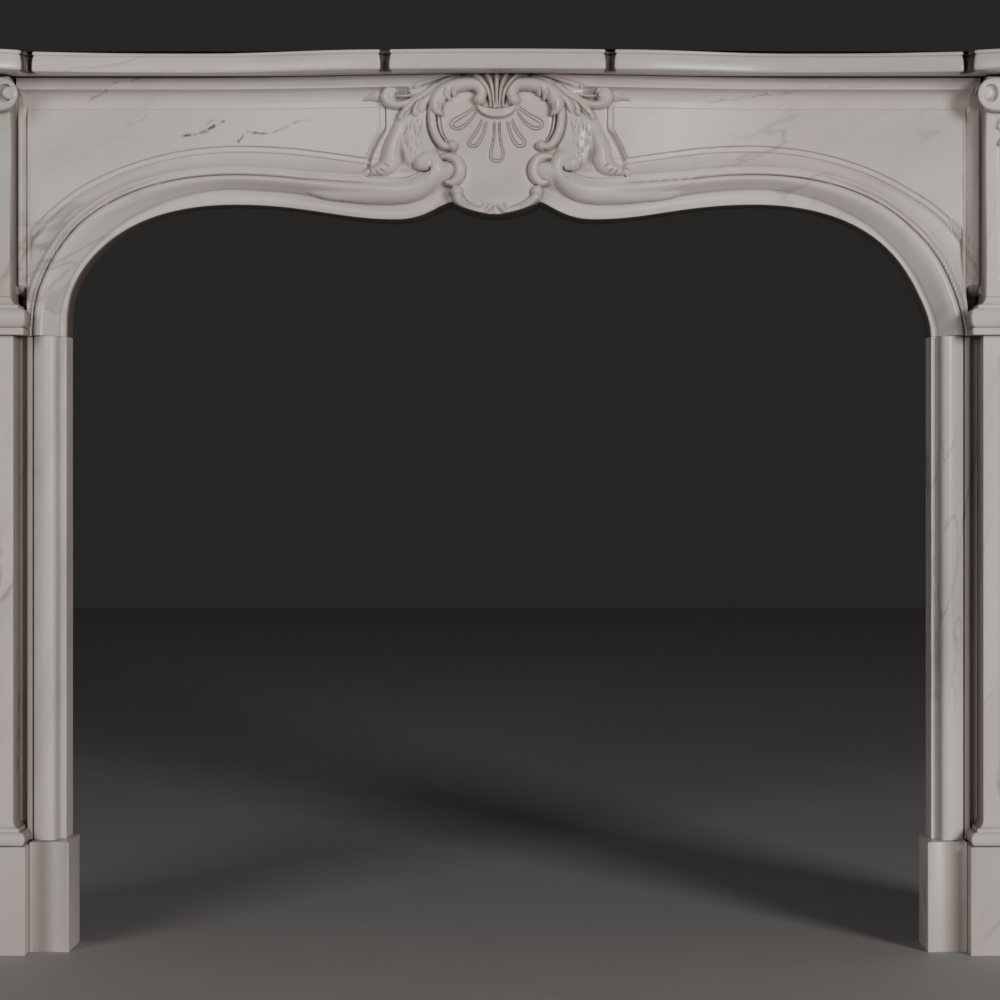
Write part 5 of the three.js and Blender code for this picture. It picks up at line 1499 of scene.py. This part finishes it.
@dataclass
class Shelf:
    """The serpentine shelf: an edge moulding carried round its plan."""

    half: float = 790.0
    low: float = 1091.0
    thickness: float = 25.0
    centre: float = 138.0
    corner: float = 578.6
    notch: float = 5.0
    slot: float = 4.0
    slot_depth: float = 9.0
    round_end: float = 22.0

    def sweep(self, x: np.ndarray) -> np.ndarray:
        """Depth of the front edge before its notches are rounded."""
        u = np.abs(x)
        middle = 257 - 7 * (u / self.centre) ** 2
        reach = np.clip((u - self.centre) / 225, 0, 1)
        waist = 216 + 34 * np.cos(reach * np.pi / 2) ** 2 + 12 * (np.maximum(0, u - 400) / 160) ** 2
        end = 268 - 26 * ((u - 678) / 97) ** 2
        return np.where(u <= self.centre, middle, np.where(u <= self.corner, waist, end))

    def edge(self) -> np.ndarray:
        """The plan's front edge from the left wall end to the right one, as x and depth."""
        rounding = self.notch * (1 - np.cos(np.linspace(0, np.pi / 2, 9)))
        near = np.concatenate([[0, self.slot * 0.5, self.slot - 0.05], self.slot + rounding])
        straight = self.half - self.round_end
        spans = [(0.0, self.centre, 26), (self.centre, self.corner, 90), (self.corner, straight, 40)]
        points: list[np.ndarray] = []
        for i, (x0, x1, count) in enumerate(spans):
            first = x0 + near if i else np.array([0.0])
            last = (x1 - near)[::-1] if i < 2 else np.array([x1])
            x = np.concatenate([first, np.linspace(first[-1], last[0], count)[1:-1], last])
            to_edge = np.minimum(x - x0 if i else 1e3, x1 - x if i < 2 else 1e3)
            n = np.clip(to_edge - self.slot, 0, self.notch)
            dip = self.notch - np.sqrt(np.clip(self.notch**2 - (self.notch - n) ** 2, 0, None))
            dip = np.where(to_edge < self.slot - 0.01, self.notch + self.slot_depth, dip)
            d = self.sweep(np.clip(x, x0 + (1e-6 if i else 0), x1)) - dip
            points.append(np.stack([x, d], 1))
        a = np.linspace(0, np.pi / 2, 12)[1:]
        cd = float(self.sweep(np.array([straight]))[0])
        end = (straight + self.round_end * np.sin(a), cd - self.round_end * (1 - np.cos(a)))
        points.append(np.stack(end, 1))
        right = np.vstack(points)
        keep = np.concatenate([[True], np.hypot(*np.diff(right, axis=0).T) > 0.02])
        right = right[keep]
        return np.vstack([right[:0:-1] * [-1, 1], right])

    def profile(self) -> np.ndarray:
        """The edge moulding from the underside up, as height and inset: face, quirk and bead."""
        t = self.thickness
        lower = [(0.0, 3.0), (0.25, 1.4), (1.0, 0.5), (2.2, 0.1)]
        face = [(h, 2.4 * (h / 19.0) ** 3) for h in np.linspace(3.6, 18.6, 9)]
        quirk = [(19.0, 3.2), (19.5, 3.6), (20.0, 3.3)]
        bead = [(20.2 + 2.2 * (1 - np.cos(a)), 2.5 - 1.6 * np.sin(a)) for a in np.linspace(0, np.pi, 9)]
        cap = [(24.7, 3.0), (t, 3.8), (t, 6.0)]
        return np.array(lower + face + quirk + bead + cap)

    def build(self) -> bpy.types.Object:
        """Insets the edge by the profile at each height."""
        edge = self.edge()
        tangent = np.gradient(edge, axis=0)
        tangent /= np.hypot(*tangent.T)[:, None]
        inward = np.stack([tangent[:, 1], -tangent[:, 0]], 1)
        along = np.abs(edge[:, 0])
        at_end = along > self.half - 0.01
        inward[at_end] = np.stack([-np.sign(edge[at_end, 0]), np.zeros(at_end.sum())], 1)
        profile = self.profile()
        moved = edge[None] + inward[None] * profile[:, 1, None, None]
        ends = self.half - profile[:, 1]
        back_right = np.stack([ends, np.zeros_like(ends)], 1)[:, None]
        back_left = np.stack([-ends, np.zeros_like(ends)], 1)[:, None]
        plan = np.concatenate([moved, back_right, back_left], 1)
        contact = np.maximum(186.0, 174.0 + Arch().bow(plan[0, :, 0]))
        across, depth = plan[0].T
        under = [np.stack([across, np.minimum(depth, contact + step)], -1) for step in (0.0, 1.2)]
        plan = np.concatenate([np.array(under), plan], 0)
        z = self.low + np.concatenate([[0.0, 0.0], profile[:, 0]])
        rings = front(plan[..., 0], plan[..., 1], z[:, None])
        piece = ring_piece("shelf_moulded", rings, 34.0)
        # Painted shade in the slots and along the quirk, and a painted shadow on the underside where the
        # shelf meets what it rests on.
        near_slot = np.minimum(np.abs(along - self.centre), np.abs(along - self.corner))
        dark = np.concatenate([1 - smooth((near_slot - self.slot - 0.9) / 1.4), [0.0, 0.0]])
        rims = 0.35 * np.exp(-(((profile[:, 0] - 19.5) / 0.5) ** 2))
        shade_and_grime = np.maximum(0.86 * dark[None] * (profile[:, 0] < 24.5)[:, None], rims[:, None])
        flat = np.ones_like(dark)
        paint_shade_and_grime(piece, np.vstack([flat, 0.12 * flat, shade_and_grime]))
        return piece


# ---------------------------------------------------------------- studio


@dataclass
class Studio:
    """Floor, lights, surroundings and the camera."""

    camera_place: tuple[float, float, float] = (0.0582, -3.791, 0.607)
    focal_share: float = 3.005
    centre: tuple[float, float] = (0.045, 0.035)
    sensor: float = 36.0

    def camera(self) -> None:
        """Sets the camera at the photograph's viewing angle."""
        data = bpy.data.cameras.new("studio_camera")
        data.sensor_width = self.sensor
        data.sensor_fit = "HORIZONTAL"
        data.lens = self.focal_share * self.sensor
        data.shift_x = -self.centre[0]
        data.shift_y = -self.centre[1]
        data.clip_end = 60.0
        camera = bpy.data.objects.new("studio_camera", data)
        camera.location = self.camera_place
        camera.rotation_euler = (np.pi / 2, 0.0, 0.0)
        bpy.context.scene.collection.objects.link(camera)
        bpy.context.scene.camera = camera

    def lamp(self, name: str, place: tuple, aim: tuple, size: float, power: float, tint: tuple) -> None:
        """Adds a square soft light that faces a point.

        Args:
            name: The light's name.
            place: Where it stands.
            aim: The point that it faces.
            size: Length of its side.
            power: Watts.
            tint: Its colour.
        """
        data = bpy.data.lights.new(name, "AREA")
        data.shape = "SQUARE"
        data.size = size
        data.energy = power
        data.color = tint
        lamp = bpy.data.objects.new(name, data)
        lamp.location = place
        toward = Vector(aim) - Vector(place)
        lamp.rotation_euler = toward.to_track_quat("-Z", "Y").to_euler()
        bpy.context.scene.collection.objects.link(lamp)

    def lights(self) -> None:
        """A soft key from the front right, a broad weaker fill from the front left, and dim surroundings."""
        middle = (0.0, 0.0, 0.75)
        self.lamp("key", (3.4, -5.7, 1.7), middle, 1.4, 232, (1.0, 0.98, 0.96))
        self.lamp("fill", (-2.7, -5.0, 2.1), middle, 2.0, 80, (1.0, 0.985, 0.975))
        world = bpy.data.worlds.new("studio_world")
        world.use_nodes = True
        background = world.node_tree.nodes["Background"]
        background.inputs[0].default_value = colour(120, 118, 117)
        background.inputs[1].default_value = 0.14
        bpy.context.scene.world = world

    def floor(self) -> bpy.types.Object:
        """Lays the pale floor just under the object."""
        reach, level = 9000.0, -0.2
        signs = ((-1, -1), (1, -1), (1, 1), (-1, 1))
        corners = np.array([(reach * i, reach * j, level) for i, j in signs])
        piece = new_piece("studio_floor", corners, [(0, 1, 2, 3)])
        piece.data.materials.append(FloorFinish().material())
        return piece


FRIEZE_VEINS = (
    Vein(-0.400, 1.021, -0.372, 1.023, 0.0034, 1.0),
    Vein(-0.374, 1.023, -0.349, 1.032, 0.0034, 1.0),
    Vein(-0.350, 1.031, -0.341, 1.040, 0.0026, 0.8),
    Vein(-0.364, 1.033, -0.349, 1.040, 0.0022, 0.7),
    Vein(-0.329, 1.010, -0.316, 1.020, 0.0028, 1.0),
    Vein(-0.317, 1.021, -0.284, 1.023, 0.0030, 1.0),
    Vein(-0.286, 1.023, -0.258, 1.032, 0.0034, 1.0),
    Vein(-0.259, 1.032, -0.232, 1.038, 0.0026, 0.8),
    Vein(-0.524, 1.060, -0.482, 1.079, 0.0022, 0.5),
    Vein(-0.498, 1.080, -0.440, 1.094, 0.0020, 0.5),
    Vein(-0.474, 1.031, -0.434, 1.050, 0.0012, 0.35),
    Vein(0.250, 1.058, 0.375, 1.077, 0.0016, 0.5),
    Vein(0.375, 1.077, 0.476, 1.081, 0.0014, 0.4),
)


def dress(piece: bpy.types.Object, finish: MarbleFinish, nodes: tuple[str, ...]) -> None:
    """Gives a piece its marble, its body and the CAD nodes that it stands for.

    Args:
        piece: The finished piece.
        finish: Its marble.
        nodes: The CAD nodes that it replaces.
    """
    piece.data.materials.append(finish.material())
    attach(piece, "root")
    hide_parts(*nodes)
    log.info("%s: %d faces for %s", piece.name, len(piece.data.polygons), ", ".join(nodes))


def main() -> None:
    """Builds the studio, then every piece of the chimneypiece from the floor up."""
    logging.basicConfig(level=logging.INFO, format="%(name)s: %(message)s")
    studio = Studio()
    studio.camera()
    studio.lights()
    studio.floor()
    for side in (-1, 1):
        name = side_name(side)
        own = 0.37 * side
        outer = FootBlock("foot_block", side, 585.0, 771.0, 208.0, 134.0)
        inner = FootBlock("jamb_block", side, 535.0, 584.7, 182.0, 137.0, 95.0, 4.5, 0.66)
        pieces = (
            (outer, "foot", "outer_block", (0.2, 0.8), 1.1),
            (inner, "jamb_foot", "inner_block", (0.9, 0.1), 1.0),
            (Jamb(side), "jamb", "inner_jamb", (0.5, 0.3), 1.35),
            (Pilaster(side), "pilaster", "pilaster", (1.5, 0.3), 1.25),
            (Console(side), "console", "console", (2.5, 0.6), 1.2),
        )
        for maker, marble, node, shift, tilt in pieces:
            finish = MarbleFinish(f"marble_{marble}_{name}", (own, *shift), tilt)
            dress(maker.build(), finish, (f"{node}_{name}",))
    dress(Frieze().build(), MarbleFinish("marble_frieze", veins=FRIEZE_VEINS), ("frieze",))
    dress(Shelf().build(), MarbleFinish("marble_shelf", (0.6, 0.3, 0.4), 0.2), ("shelf",))


if __name__ == "__main__":
    main()
